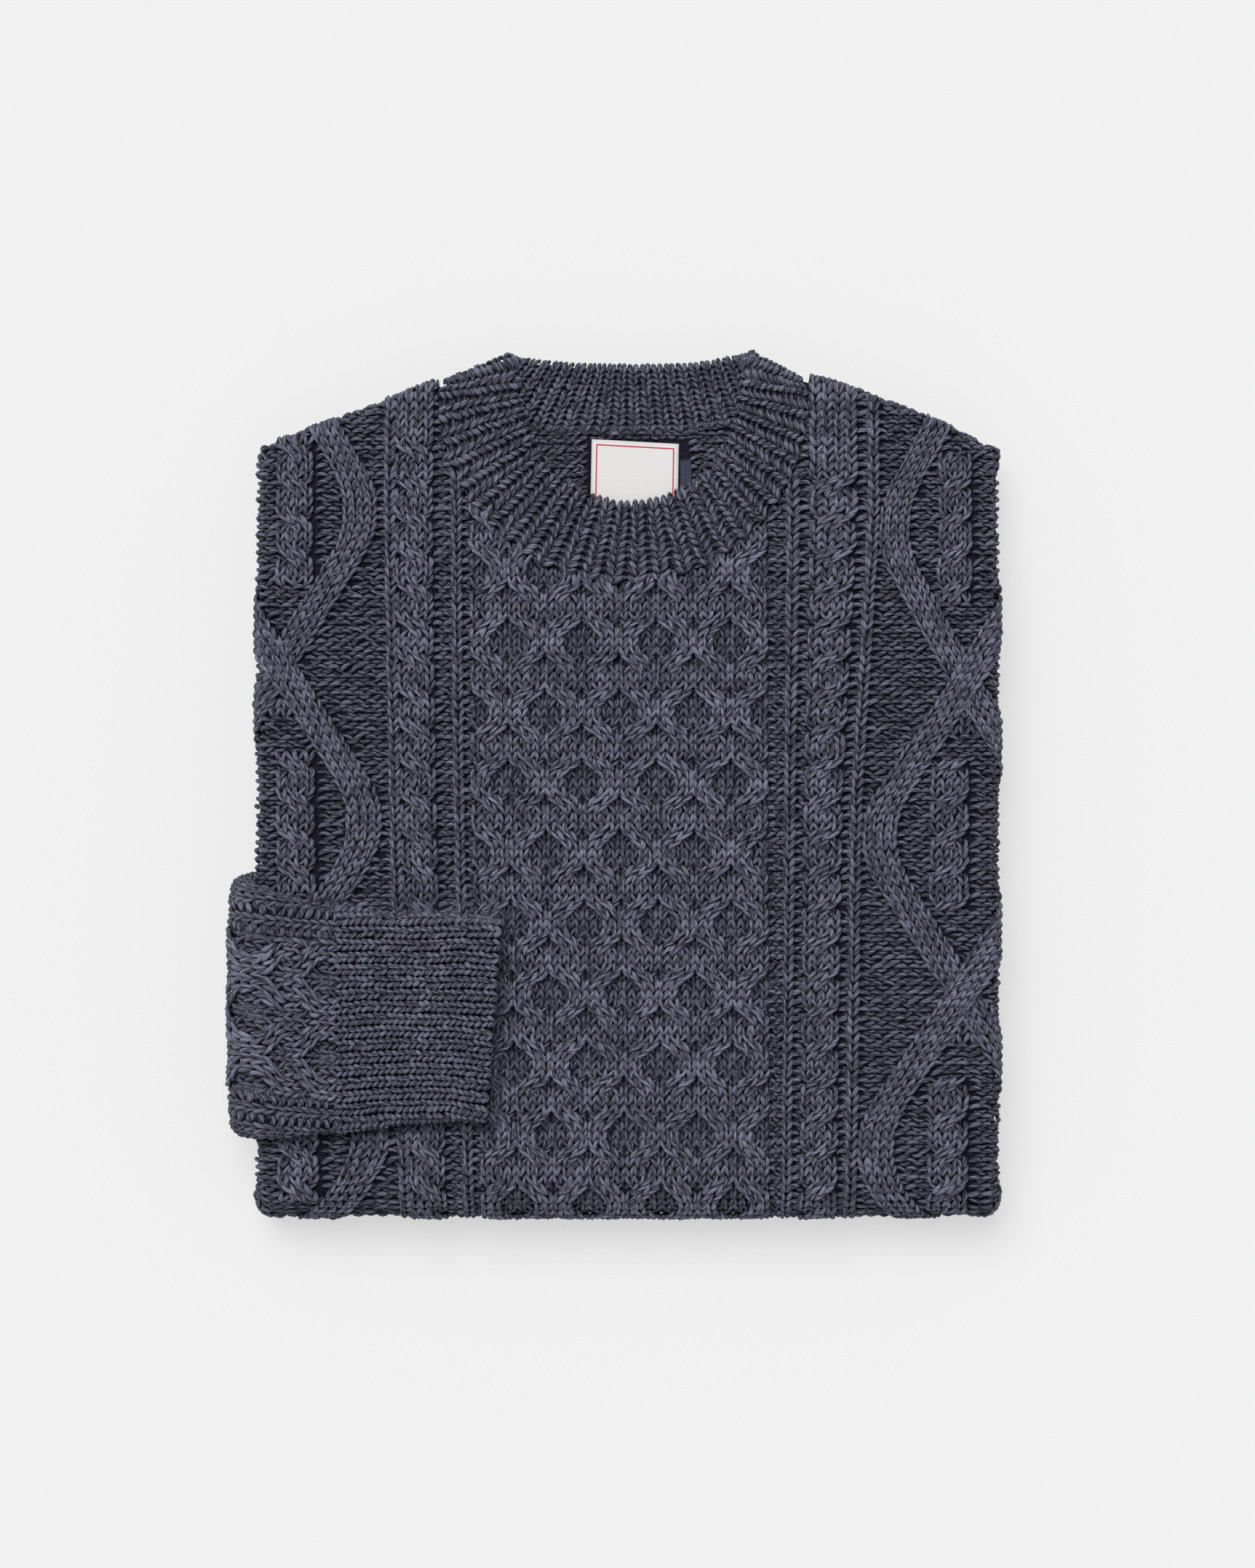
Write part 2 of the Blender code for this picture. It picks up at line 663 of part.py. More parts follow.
def plate(name, corners, colour, lift):
    """Build a thin piece of woven cloth that lies on the back panel."""
    (x0, y0), (x1, y1), (x2, y2), (x3, y3) = corners
    sections = []
    for part in range(5):
        share = part / 4
        left = (x0 + (x3 - x0) * share, y0 + (y3 - y0) * share)
        right = (x1 + (x2 - x1) * share, y1 + (y2 - y1) * share)
        low_left = back_top(left[1]) + lift
        low_right = back_top(right[1]) + lift
        sections.append([
            (left[0], left[1], low_left),
            (right[0], right[1], low_right),
            (right[0], right[1], low_right + LABEL_THICKNESS),
            (left[0], left[1], low_left + LABEL_THICKNESS),
        ])
    points, faces = loft(sections, False)
    return solid(name, points, faces, colour, 0.6)


def sleeve_line(length):
    """Give x, z and the outward direction of the sleeve's middle line at a length past its start."""
    radius = SLEEVE_TURN + SLEEVE_THICKNESS / 2
    centre_z = STACK_HEIGHT - ROLL_RADIUS
    if length <= 0:
        return -ROLL_CENTRE - length, centre_z - radius, 0.0, -1.0
    angle = length / radius
    if angle < math.pi:
        out_x, out_z = -math.sin(angle), -math.cos(angle)
        return -ROLL_CENTRE + radius * out_x, centre_z + radius * out_z, out_x, out_z
    return -ROLL_CENTRE + length - math.pi * radius, centre_z + radius, 0.0, 1.0


def sleeve_edges(length):
    """Give the lower and upper y of the flattened sleeve at a length along its line."""
    low = along([(row[0], row[1]) for row in SLEEVE_EDGES], length)
    high = along([(row[0], row[2]) for row in SLEEVE_EDGES], length)
    return low, high


def sleeve_relief(across, length):
    """Give the rise of the sleeve's cables: the same lattice, run along the sleeve."""
    stitch = across / SLEEVE_STITCH
    rise = 0.0
    for index, middle in enumerate((-6, -2, 2, 6)):
        way = 1 if index % 2 == 0 else -1
        rise = max(rise, rope(stitch, length, middle, tuple(way * turn for turn in LATTICE_TURNS)))
    for middle in (-9.5, 9.5):
        rise = max(rise, strand(stitch - middle, 0.6, RIB_RISE))
    return 0.7 * rise


def sleeve_loops(length, across_parts, height_at, slant=0.0):
    """Make the outer and inner loop of the flattened tube at one length."""
    x, z, out_x, out_z = sleeve_line(length)
    low, high = sleeve_edges(length)
    half = (high - low) / 2
    centre = (high + low) / 2
    thick = SLEEVE_THICKNESS / 2
    flat = half - thick
    outer = []
    for part in range(across_parts + 1):
        place = -flat + 2 * flat * part / across_parts
        outer.append((place, thick - 1.0 + height_at(place / half, length)))
    outer += [(half - 0.3 * thick, 0.72 * thick), (half, 0.0), (half - 0.3 * thick, -0.72 * thick)]
    outer += [(flat, -thick), (0.0, -thick), (-flat, -thick)]
    outer += [(0.3 * thick - half, -0.72 * thick), (-half, 0.0), (0.3 * thick - half, 0.72 * thick)]
    inside = flat + 1.0
    inner = [(-inside, SLIT / 2), (0, SLIT / 2), (inside, SLIT / 2)]
    inner += [(inside, -SLIT / 2), (0, -SLIT / 2), (-inside, -SLIT / 2)]
    loops = []
    for outline in (outer, inner):
        loop = []
        for place, rise in outline:
            back = slant * (0.5 - place / (2 * half))
            loop.append((x + out_x * rise - back, centre + place, z + out_z * rise))
        loops.append(loop)
    return loops


def flat_tube(name, lengths, across_parts, height_at, slant_at):
    """Build a flattened tube along the sleeve's line, open at both ends."""
    outer_sections = []
    inner_sections = []
    for length in lengths:
        outer, inner = sleeve_loops(length, across_parts, height_at, slant_at(length))
        outer_sections.append(outer)
        inner_sections.append(inner)
    points, faces = tube(outer_sections, inner_sections)
    size = len(outer_sections[0])
    hole = len(inner_sections[0])
    shift = size * len(outer_sections)
    for end in (0, len(lengths) - 1):
        outer_start = end * size
        inner_start = shift + end * hole
        top = [outer_start + k for k in range(across_parts + 1)]
        sides = [outer_start + k for k in range(across_parts + 1, size)]
        rings = [
            (top, [inner_start, inner_start + 1, inner_start + 2]),
            ([top[-1]] + sides[:4], [inner_start + 2, inner_start + 3]),
            (sides[3:6], [inner_start + 3, inner_start + 4, inner_start + 5]),
            (sides[5:9] + [top[0]], [inner_start + 5, inner_start]),
        ]
        for outside, inside in rings:
            faces.append(tuple(outside) + tuple(reversed(inside)))
    return solid(name, points, faces, YARN)


def sleeve_and_cuff():
    """Build the left sleeve from between the layers to its cuff."""
    radius = SLEEVE_TURN + SLEEVE_THICKNESS / 2
    turn = math.pi * radius
    start = ROLL_CENTRE - (-SLEEVE_INNER_END)
    cuff_at = turn + CUFF_START + ROLL_CENTRE
    end = turn + CUFF_END + ROLL_CENTRE
    lengths = [-start, 0.0]
    lengths += [turn * k / SLEEVE_TURN_PARTS for k in range(1, SLEEVE_TURN_PARTS + 1)]
    run = cuff_at - SEAM_GAP - turn
    lengths += [turn + run * k / 4 for k in range(1, 5)]

    def cables(share, length):
        """Raise the cables on the sleeve's outer side."""
        low, high = sleeve_edges(length)
        fade = smooth(length / 12)
        return 1.0 * (1 - fade) + fade * sleeve_relief(share * (high - low) / 2, length)

    def ribs(share, length):
        """Raise the ribs on the cuff's outer side."""
        wave = 0.12 * math.sin((length - cuff_at) / 14)
        turn = (share + wave / CUFF_RIBS) * math.pi * CUFF_RIBS / CUFF_FLAT_SHARE
        return 0.5 + CUFF_WAVE * math.cos(turn)

    sleeve = flat_tube("sleeve_left", lengths, 24, cables, lambda length: 0.0)
    cuff_lengths = [cuff_at + (end - cuff_at) * k / 5 for k in range(6)]
    cuff = flat_tube(
        "cuff_left", cuff_lengths, 2 * CUFF_RIBS, ribs,
        lambda length: CUFF_SLANT * (length - cuff_at) / (end - cuff_at),
    )
    return [sleeve, cuff]


def centre_on_origin(made):
    """Shift every mesh so that the origin lies under the middle of the whole."""
    corners = [vertex.co for each in made for vertex in each.data.vertices]
    shift = [
        -(min(corner[axis] for corner in corners) + max(corner[axis] for corner in corners)) / 2
        for axis in (0, 1)
    ]
    for each in made:
        for vertex in each.data.vertices:
            vertex.co.x += shift[0]
            vertex.co.y += shift[1]


pieces = [front_panel(), back_panel(), hidden_layers(), neckband()]
pieces += [plate("label", LABEL_CORNERS, WHITE, SHEET_GAP)]
pieces += [plate("label_tape", TAPE_CORNERS, NAVY, SHEET_GAP)]
pieces += sleeve_and_cuff()
centre_on_origin(pieces)
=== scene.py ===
"""Looks of a cable-knit aran sweater that lies folded flat, in wool of slate-blue and charcoal plies.

Each stitch that shows is laid out as yarn: two legs for a knit stitch, two bumps for a purl one. They lie
on thin cloth shells of the same form as the solids, a little below the yarn, whose dark colour is painted
shade in the gaps between stitches. Stitches are placed on a flat chart, across and along the knitting, and a
face function carries the chart onto the folded form.
Sizes are in millimetres, in the frame that the solids were drawn in, and become metres in make_piece.
"""

import math

import bpy
import numpy as np
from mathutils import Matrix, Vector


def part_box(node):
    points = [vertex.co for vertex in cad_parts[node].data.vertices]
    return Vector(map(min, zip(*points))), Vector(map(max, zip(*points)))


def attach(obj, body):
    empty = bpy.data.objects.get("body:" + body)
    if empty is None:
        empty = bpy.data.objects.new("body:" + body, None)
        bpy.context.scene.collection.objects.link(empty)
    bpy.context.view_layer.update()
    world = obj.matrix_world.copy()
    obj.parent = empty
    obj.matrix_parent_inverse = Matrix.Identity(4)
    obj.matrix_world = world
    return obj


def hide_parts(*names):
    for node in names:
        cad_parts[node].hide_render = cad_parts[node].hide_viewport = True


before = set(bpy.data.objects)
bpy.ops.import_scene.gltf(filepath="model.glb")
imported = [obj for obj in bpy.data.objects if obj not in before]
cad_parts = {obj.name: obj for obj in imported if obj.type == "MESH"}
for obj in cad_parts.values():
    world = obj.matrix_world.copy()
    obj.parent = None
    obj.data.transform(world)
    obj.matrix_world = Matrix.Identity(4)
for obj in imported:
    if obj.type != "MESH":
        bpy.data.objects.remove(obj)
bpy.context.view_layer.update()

MM = 0.001
rng = np.random.default_rng(7)

# The solids were centred after they were drawn: the label's lower left corner gives the shift
LABEL_LEFT, LABEL_BOTTOM = -18.7, 348.5
label_low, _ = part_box("label")
SHIFT = np.array([label_low.x / MM - LABEL_LEFT, label_low.y / MM - LABEL_BOTTOM, 0.0])

# Sizes shared with the solids
STACK_HEIGHT = 46.0
SHOULDER_HEIGHT = 31.0
SHOULDER_SLOPE_START = 290.0
NECK_TOP = 430.0
HEM_EDGE = 368.0
FOLD_RADIUS = 23.0
ROLL_RADIUS = 7.5
ROLL_CENTRE = 175.5
# Rows and stitches: the ropes cross every four rows, counted up from the bottom fold
ROW = 4.36
CROSSING_STEP = 4 * ROW
FIRST_CROSSING = 14.0
STITCH = 4.6
ROLL_STITCH = 4.7
# Stitch columns, counted from the middle, and the heights at which their places are measured
COLUMN_HEIGHTS = (0.0, 206.0, 350.0)
MIDDLE_HEIGHT = 180.0
PANEL_EDGE = 184.3
EDGE_STITCHES = (-39.2, 40.7)
RIB_STITCHES = (-24.5, 25.5)
KEY_COLUMNS = np.array([
    # stitch, x at the bottom fold, x at mid height, x at the neck
    (EDGE_STITCHES[0], -PANEL_EDGE, -PANEL_EDGE, -PANEL_EDGE),
    (RIB_STITCHES[0], -109.8, -115.2, -118.1),
    (-17.5, -78.5, -83.5, -85.0),
    (-16.0, -72.4, -77.4, -78.5),
    (16.0, 70.2, 69.1, 69.1),
    (18.5, 78.1, 79.9, 81.7),
    (RIB_STITCHES[1], 109.8, 113.0, 122.4),
    (EDGE_STITCHES[1], PANEL_EDGE, PANEL_EDGE, PANEL_EDGE),
])
NECK_LEFT, NECK_RIGHT = (-91.0, 416.0), (86.0, 417.5)
SHOULDER_OUTLINE = np.array([
    # x and y of the front's upper edge
    (-184.0, 372.0), (-176.0, 383.5), (-148.7, 393.5), (-109.0, 408.6), NECK_LEFT,
    NECK_RIGHT, (103.3, 413.0), (139.3, 400.7), (173.5, 384.5), (184.0, 372.0),
])
# The columns of a side's roll end here, and fall to the hem's edge where it has turned under
ROLL_TOP = 382.0
# How round the shoulder's edge is, and how far the yarn may hang behind it
EDGE_RADIUS = 3.5
MOST_DROP = 9.0
# The neckband's seam and its free edge are half ellipses below the neck's height
NECK_HEIGHT = 408.0
SEAM_CENTRE, SEAM_ACROSS, SEAM_DOWN = -2.0, 92.0, 94.0
FREE_CENTRE, FREE_ACROSS, FREE_DOWN = 1.0, 56.0, 55.5

# A knit stitch's leg: its length on the face, and on ribs in rows, then where its rings are, how high,
# how thick and how far to the side, from the foot to the tip
LEG_SPAN = 1.42 * ROW
RIB_SPAN = 1.35
LEG_RINGS = np.array([0.0, 0.22, 0.5, 0.78, 1.0])
LEG_RISE = np.array([-1.3, 0.15, 0.6, 0.3, -1.2])
LEG_SWELL = np.array([0.52, 1.0, 1.2, 1.02, 0.5])
LEG_SPLAY = np.array([0.02, 0.14, 0.27, 0.40, 0.47])
# A purl bump: where its rings are and how thick, half its length in stitches, how far it lies from its
# row and arches away from it, in rows, and how high its ends, its middle and its lower half lie
BUMP_RUN = np.linspace(-1, 1, 5)
BUMP_SWELL = np.array([0.6, 0.95, 1.0, 0.95, 0.6])
BUMP_REACH = 0.52
BUMP_START, BUMP_ARCH = 0.08, 0.24
BUMP_ENDS, BUMP_CROWN, BUMP_FOOT = -0.75, 1.4, -0.8
# How far stitches stray, in millimetres: across, along and in rise
LEG_STRAY = (0.15, 0.22, 0.2)
BUMP_STRAY = (0.2, 0.2, 0.4)
# The angles round a strand at which its rings have points: its hidden lower part is left open
SECTION = np.radians([-24.0, 33.0, 90.0, 147.0, 204.0])


def smooth(value):
    """Ease from 0 to 1."""
    held = np.clip(value, 0.0, 1.0)
    return held * held * (3 - 2 * held)


def top_height(y):
    """Give the height of the front's face: level, then falling towards the shoulders."""
    fall = smooth((y - SHOULDER_SLOPE_START) / (NECK_TOP - SHOULDER_SLOPE_START))
    return STACK_HEIGHT - (STACK_HEIGHT - SHOULDER_HEIGHT) * fall


def column_x(stitch, y):
    """Give the place across the panel of a stitch number at a height."""
    low, middle, high = COLUMN_HEIGHTS
    held = np.clip(y, low, high)
    places = [np.interp(stitch, KEY_COLUMNS[:, 0], KEY_COLUMNS[:, k]) for k in (1, 2, 3)]
    lower = places[0] + (places[1] - places[0]) * (held - low) / (middle - low)
    upper = places[1] + (places[2] - places[1]) * (held - middle) / (high - middle)
    return np.where(held <= middle, lower, upper)


def roll_starts(y):
    """Give the stitch numbers at which the left and right sides begin to roll under."""
    starts = []
    for side, edge, rib in zip((-1, 1), EDGE_STITCHES, RIB_STITCHES):
        share = (PANEL_EDGE - ROLL_CENTRE) / (PANEL_EDGE - side * column_x(rib, y))
        starts.append(edge + (rib - edge) * share)
    return starts


def fold_line(v):
    """Give y, z and the outward direction of the front panel at a length v along its fold."""
    angle = np.maximum((FOLD_RADIUS - v) / FOLD_RADIUS, 0.0)
    turned = np.minimum(angle, math.pi)
    past = np.maximum(angle - math.pi, 0.0) * FOLD_RADIUS
    flat = angle <= 0
    out_y = -np.sin(turned)
    out_z = np.cos(turned)
    y = np.where(flat, v, FOLD_RADIUS * (1 + out_y) + past)
    z = np.where(flat, top_height(v), FOLD_RADIUS * (1 + out_z))
    return y, z, out_y, out_z


def front_face(across, v, rise):
    """Carry chart places onto the front's outer face, round its rolls, bottom fold and shoulders."""
    stitch = across / STITCH
    held = np.maximum(v, 0.0)
    left_start, right_start = roll_starts(held)
    beyond = np.maximum(left_start - stitch, stitch - right_start)
    arc = np.maximum(beyond, 0.0) * ROLL_STITCH
    side = np.sign(stitch)
    turn = np.minimum(arc / ROLL_RADIUS, math.pi)
    lip = np.maximum(arc - ROLL_RADIUS * math.pi, 0.0)
    rolled = side * (ROLL_CENTRE + ROLL_RADIUS * np.sin(turn) - lip)
    x = np.where(arc > 0, rolled, column_x(stitch, held))
    x = x + side * rise * np.sin(turn)
    reach = rise * np.cos(turn) - ROLL_RADIUS * (1 - np.cos(turn))
    y, z, out_y, out_z = fold_line(v)
    past = np.maximum(v - panel_top(stitch) + EDGE_RADIUS, 0.0)
    over = np.minimum(past / EDGE_RADIUS, math.pi / 2)
    drop = np.clip(past - EDGE_RADIUS * math.pi / 2, 0.0, MOST_DROP)
    y = y - past + (EDGE_RADIUS + rise) * np.sin(over)
    reach = reach - rise * np.cos(turn) * (1 - np.cos(over)) - EDGE_RADIUS * (1 - np.cos(over)) - drop
    return np.stack([x, y + out_y * reach, np.maximum(z + out_z * reach, 0.1)], axis=-1)


def neck_seam_y(x):
    """Give the height of the neck seam, or of the shoulder outside it."""
    across = (x - SEAM_CENTRE) / SEAM_ACROSS
    arch = NECK_HEIGHT - SEAM_DOWN * np.sqrt(np.maximum(1 - across ** 2, 0.0))
    shoulder = np.interp(x, SHOULDER_OUTLINE[:, 0], SHOULDER_OUTLINE[:, 1])
    return np.where(np.abs(across) < 1, arch, shoulder)


TOP_STITCHES = np.linspace(-46.0, 47.0, 373)


def measured_tops():
    """Work out where each stitch column of the front ends, from one roll to the other."""
    left_start, right_start = roll_starts(COLUMN_HEIGHTS[-1])
    x = column_x(TOP_STITCHES, COLUMN_HEIGHTS[-1])
    for _ in range(8):
        x = column_x(TOP_STITCHES, neck_seam_y(x))
    beyond = np.maximum(left_start - TOP_STITCHES, TOP_STITCHES - right_start) * ROLL_STITCH
    rolled = ROLL_TOP - (ROLL_TOP - HEM_EDGE) * smooth(beyond / (ROLL_RADIUS * math.pi))
    return np.where(beyond > 0, rolled, neck_seam_y(x))


COLUMN_TOPS = measured_tops()


def panel_top(stitch):
    """Give the length along the fold at which a stitch column of the front ends."""
    return np.interp(stitch, TOP_STITCHES, COLUMN_TOPS)


# Ropes and strands on the chart: each gives the stitch number and rise of a wale at places along it

RIB_RISE = 0.9
CABLE_LIFT = 1.5
# Shares of the way from one crossing of a rope to the next
SPLIT = 0.34
CROSS_REACH = 0.26
# How much wider a rope and the legs of its stitches are at a crossing
CROSS_SPREAD = 0.5
CROSS_FAN = 0.25
FRONT_LIFT, MIXED_LIFT, BACK_LIFT = 1.1, 0.0, -1.6
# How much further a strand rises or sinks between two crossings of one kind
KEPT_LIFT = 1.15


def rope_wale(middle, turns, strand, offset):
    """Give a path for one wale of a rope: strand 0 crosses in front, strand 1 behind.

    A strand that is in front at two crossings running stays high between them, and one that is
    behind at both stays low. That is what makes rings where the crossings change their way.
    """
    turns = np.array(turns)

    def path(v, row):
        crossing = np.round((row - FIRST_CROSSING) / CROSSING_STEP - 1e-6)
        beat = (v - FIRST_CROSSING) / CROSSING_STEP - crossing
        number = crossing.astype(int)
        turn = turns[number % len(turns)]
        beyond = turns[(number + np.where(beat > 0, 1, -1)) % len(turns)]
        way = turn * (1 if strand == 0 else -1)
        lead = way * (2 * smooth((beat + SPLIT) / (2 * SPLIT)) - 1)
        near = np.exp(-(beat / CROSS_REACH) ** 2)
        kept = FRONT_LIFT if strand == 0 else BACK_LIFT
        between = np.where(beyond == turn, MIXED_LIFT, KEPT_LIFT * kept)
        rise = kept * near + between * (1 - near)
        beside = lead + offset * (1 + CROSS_SPREAD * near)
        return middle + beside, CABLE_LIFT + rise, 1 + CROSS_FAN * near

    return path


def straight_wale(stitch, rise):
    """Give a path for a wale that runs straight up."""
    return lambda v, row: (stitch + 0.0 * v, rise + 0.0 * v, 1.0)


DIAMONDS = {
    # stitch at the middle, y of a crossing, stitch of the small rope inside, lean of the front strand
    "left": (-36.6, 273.0, -35.0, -1),
    "right": (36.8, 265.0, 35.3, 1),
}
DIAMOND_REPEAT = 154.0
DIAMOND_REACH = 8.8
DIAMOND_TIP = 12.0
# The share of a strand's way to the diamond's side that is straight: it bends over the rest
DIAMOND_STRAIGHT = 0.86
DIAMOND_CROSS_REACH = 7.0
DIAMOND_LIFT = CABLE_LIFT - 0.1
DIAMOND_FRONT, DIAMOND_BACK = 1.0, -1.6
INNER_ROPE_REACH = 36.0


def diamond_lead(v, crossing_y, number):
    """Give how far a diamond's strand is from the middle, and how near a crossing is."""
    off = v - crossing_y - number * DIAMOND_REPEAT
    share = off / (DIAMOND_REPEAT / 2 - DIAMOND_TIP)
    size = np.abs(share)
    bend = 1 - DIAMOND_STRAIGHT
    turned = np.clip((size - DIAMOND_STRAIGHT) / (2 * bend), 0, 1) * math.pi / 2
    soft = np.where(size < DIAMOND_STRAIGHT, size, DIAMOND_STRAIGHT + bend * np.sin(turned))
    return np.sign(share) * soft * DIAMOND_REACH, off


def diamond_wale(middle, crossing_y, lean, strand, offset):
    """Give a path for one wale of a diamond's strand: strand 0 passes in front."""
    def path(v, row):
        number = np.round((row - crossing_y) / DIAMOND_REPEAT)
        lead, off = diamond_lead(v, crossing_y, number)
        way = lean if strand == 0 else -lean
        near = np.exp(-(off / DIAMOND_CROSS_REACH) ** 2)
        lift = DIAMOND_FRONT if strand == 0 else DIAMOND_BACK
        return middle + way * lead + offset, DIAMOND_LIFT + lift * near, 1.0

    return path


# Yarn: runs of rings along a path, on the flat chart

class Yarn:
    """Collects runs of yarn on a chart and turns them into one mesh.

    A run is a row of rings: their middles on the chart, and half their width and height. The chart
    has the place across the knitting, the place along it and the rise above the face, all in mm.
    """

    def __init__(self):
        self.runs = []

    def add(self, centres, half_width, half_height):
        """Add runs: centres hold across, along and rise, for each ring of each run."""
        self.runs.append((centres, half_width, half_height))

    def legs(self, path, rows, width=1.0, span=LEG_SPAN, splay=1.0, stitch=STITCH, way=1):
        """Lay the two legs of a knit stitch on each row of a wale."""
        rows = np.asarray(rows, float)[:, None]
        if not rows.size:
            return
        share = LEG_RINGS[None, :]
        for side in (-1, 1):
            v = rows + way * (share - 0.5) * span
            place, rise, fan = path(v, rows)
            count = len(rows)
            shake = rng.normal(0, 1, (count, 5))
            spread = splay * fan * LEG_SPLAY[None, :] + 0.02 * shake[:, 4:5]
            across = (place + side * spread) * stitch + LEG_STRAY[0] * shake[:, 0:1]
            lift = rise + width * LEG_RISE[None, :] + LEG_STRAY[2] * shake[:, 1:2]
            centres = np.stack([across, v + LEG_STRAY[1] * shake[:, 2:3], lift], axis=-1)
            size = width * LEG_SWELL[None, :] * (1 + 0.06 * shake[:, 3:4])
            size = size * np.clip(1 + 0.09 * (rise - CABLE_LIFT), 0.9, 1.12) * (0.8 + 0.2 * fan)
            self.add(centres, size, size * 0.95)

    def bumps(self, stitches, rows, rise=0.0, width=1.0, stitch=STITCH, row=ROW, pitch=1.0):
        """Lay the head and foot of a purl stitch at each place: pitch is its width in stitches."""
        stitches = np.asarray(stitches, float)[:, None]
        rows = np.asarray(rows, float)[:, None]
        rise = np.broadcast_to(np.asarray(rise, float), stitches.shape[:1])[:, None]
        if not rows.size:
            return
        run, swell = BUMP_RUN[None, :], BUMP_SWELL[None, :]
        arch = 1 - run ** 2
        for kind in (1, -1):
            shake = rng.normal(0, 1, (len(rows), 4))
            shift = 0.0 if kind == 1 else 0.5 * pitch
            lean = row * run * (0.05 + 0.15 * shake[:, 3:4])
            across = (stitches + shift + BUMP_REACH * pitch * run) * stitch + BUMP_STRAY[0] * shake[:, 0:1]
            along = rows + kind * row * (BUMP_START + BUMP_ARCH * arch) + lean + BUMP_STRAY[1] * shake[:, 1:2]
            lift = rise + BUMP_ENDS + BUMP_FOOT * (kind < 0) + BUMP_CROWN * arch
            lift = lift + BUMP_STRAY[2] * shake[:, 2:3]
            size = (0.95 + 0.1 * kind) * width * swell * (1 + 0.12 * shake[:, 3:4])
            self.add(np.stack([across, along, lift], axis=-1), size, size)

    def mesh(self, name, face):
        """Make one mesh from the runs, carried onto the form by a face function."""
        centres = np.concatenate([run[0] for run in self.runs])
        half_width, half_height = (
            np.concatenate([np.broadcast_to(run[k], run[0].shape[:2]) for run in self.runs]) for k in (1, 2)
        )
        runs, rings, _ = centres.shape
        step = np.gradient(centres, axis=1)
        length = np.hypot(step[..., 0], step[..., 1]) + 1e-9
        side_x, side_y = step[..., 1] / length, -step[..., 0] / length
        # A leg that leans over is thinner there: a purl bump, which runs across, keeps its width
        slim = 0.45 + 0.55 * np.abs(step[..., 1]) / length
        travel = np.abs(step).mean(axis=1, keepdims=True)
        slim = np.where(travel[..., 1] > 0.55 * travel[..., 0], slim, 1.0)
        out = half_width[..., None] * slim[..., None] * np.cos(SECTION)
        up = half_height[..., None] * np.sin(SECTION)
        across = centres[..., 0:1] + side_x[..., None] * out
        along = centres[..., 1:2] + side_y[..., None] * out
        rise = centres[..., 2:3] + up
        points = face(across, along, rise).reshape(-1, 3)
        number = rng.random(runs)
        travelled = np.concatenate([np.zeros((runs, 1)), np.cumsum(length[:, 1:], axis=1)], axis=1)
        travelled = travelled + (number * 97.0)[:, None]
        strand = np.empty((runs, rings, len(SECTION), 3))
        strand[..., 0] = travelled[..., None]
        strand[..., 1] = SECTION / (2 * math.pi)
        strand[..., 2] = number[:, None, None]
        # Places for the yarn's painted shade: how far each ring is from its run's middle, where tucked ends
        # get painted shade, and how high the run's middle lies, where low stitches get painted shade
        lie = np.zeros((runs, rings, len(SECTION), 3))
        lie[..., 0] = np.abs(np.linspace(-1, 1, rings))[None, :, None]
        lie[..., 1] = centres[:, rings // 2, 2][:, None, None]
        ring = len(SECTION)
        base = (np.arange(runs) * rings * ring)[:, None, None]
        a = base + (np.arange(rings - 1) * ring)[None, :, None] + np.arange(ring - 1)[None, None, :]
        quads = np.stack([a, a + 1, a + ring + 1, a + ring], axis=-1).reshape(-1, 4)
        return make_piece(name, points, quads, strand.reshape(-1, 3), lie.reshape(-1, 3))


def make_piece(name, points, quads, strand=None, lie=None):
    """Make a smooth object from points in millimetres and faces of four corners."""
    mesh = bpy.data.meshes.new(name)
    mesh.vertices.add(len(points))
    mesh.vertices.foreach_set("co", ((points + SHIFT) * MM).astype(np.float32).ravel())
    mesh.loops.add(4 * len(quads))
    mesh.loops.foreach_set("vertex_index", quads.astype(np.int32).ravel())
    mesh.polygons.add(len(quads))
    mesh.polygons.foreach_set("loop_start", np.arange(0, 4 * len(quads), 4, dtype=np.int32))
    mesh.update(calc_edges=True)
    mesh.shade_smooth()
    # The strand values feed the yarn's ply colours; the lie values feed its painted shade
    for key, values in (("strand", strand), ("lie", lie)):
        if values is not None:
            stored = mesh.attributes.new(key, "FLOAT_VECTOR", "POINT")
            stored.data.foreach_set("vector", values.astype(np.float32).ravel())
    made = bpy.data.objects.new(name, mesh)
    bpy.context.scene.collection.objects.link(made)
    return made


# The order of a face's corners that turns it the other way and keeps the first one
TURNED = [0, 3, 2, 1]


def grid_faces(here, after):
    """Join neighbouring rows of point numbers into faces: after holds each point's next neighbour."""
    return np.stack([here[:-1], after[:-1], after[1:], here[1:]], -1).reshape(-1, 4)


def closed_shell(name, outer, inner):
    """Close a thin shell between an outer and an inner grid of points."""
    rows, columns, _ = outer.shape
    points = np.concatenate([outer.reshape(-1, 3), inner.reshape(-1, 3)])
    index = np.arange(rows * columns).reshape(rows, columns)
    under = index + rows * columns
    faces = [grid_faces(index[:, :-1], index[:, 1:]), grid_faces(under[:, :-1], under[:, 1:])[:, TURNED]]
    for top, low in ((index[0], under[0]), (index[:, -1], under[:, -1])):
        faces.append(np.stack([top[1:], top[:-1], low[:-1], low[1:]], -1))
    for top, low in ((index[-1], under[-1]), (index[:, 0], under[:, 0])):
        faces.append(np.stack([top[:-1], top[1:], low[1:], low[:-1]], -1))
    return make_piece(name, points, np.concatenate(faces))


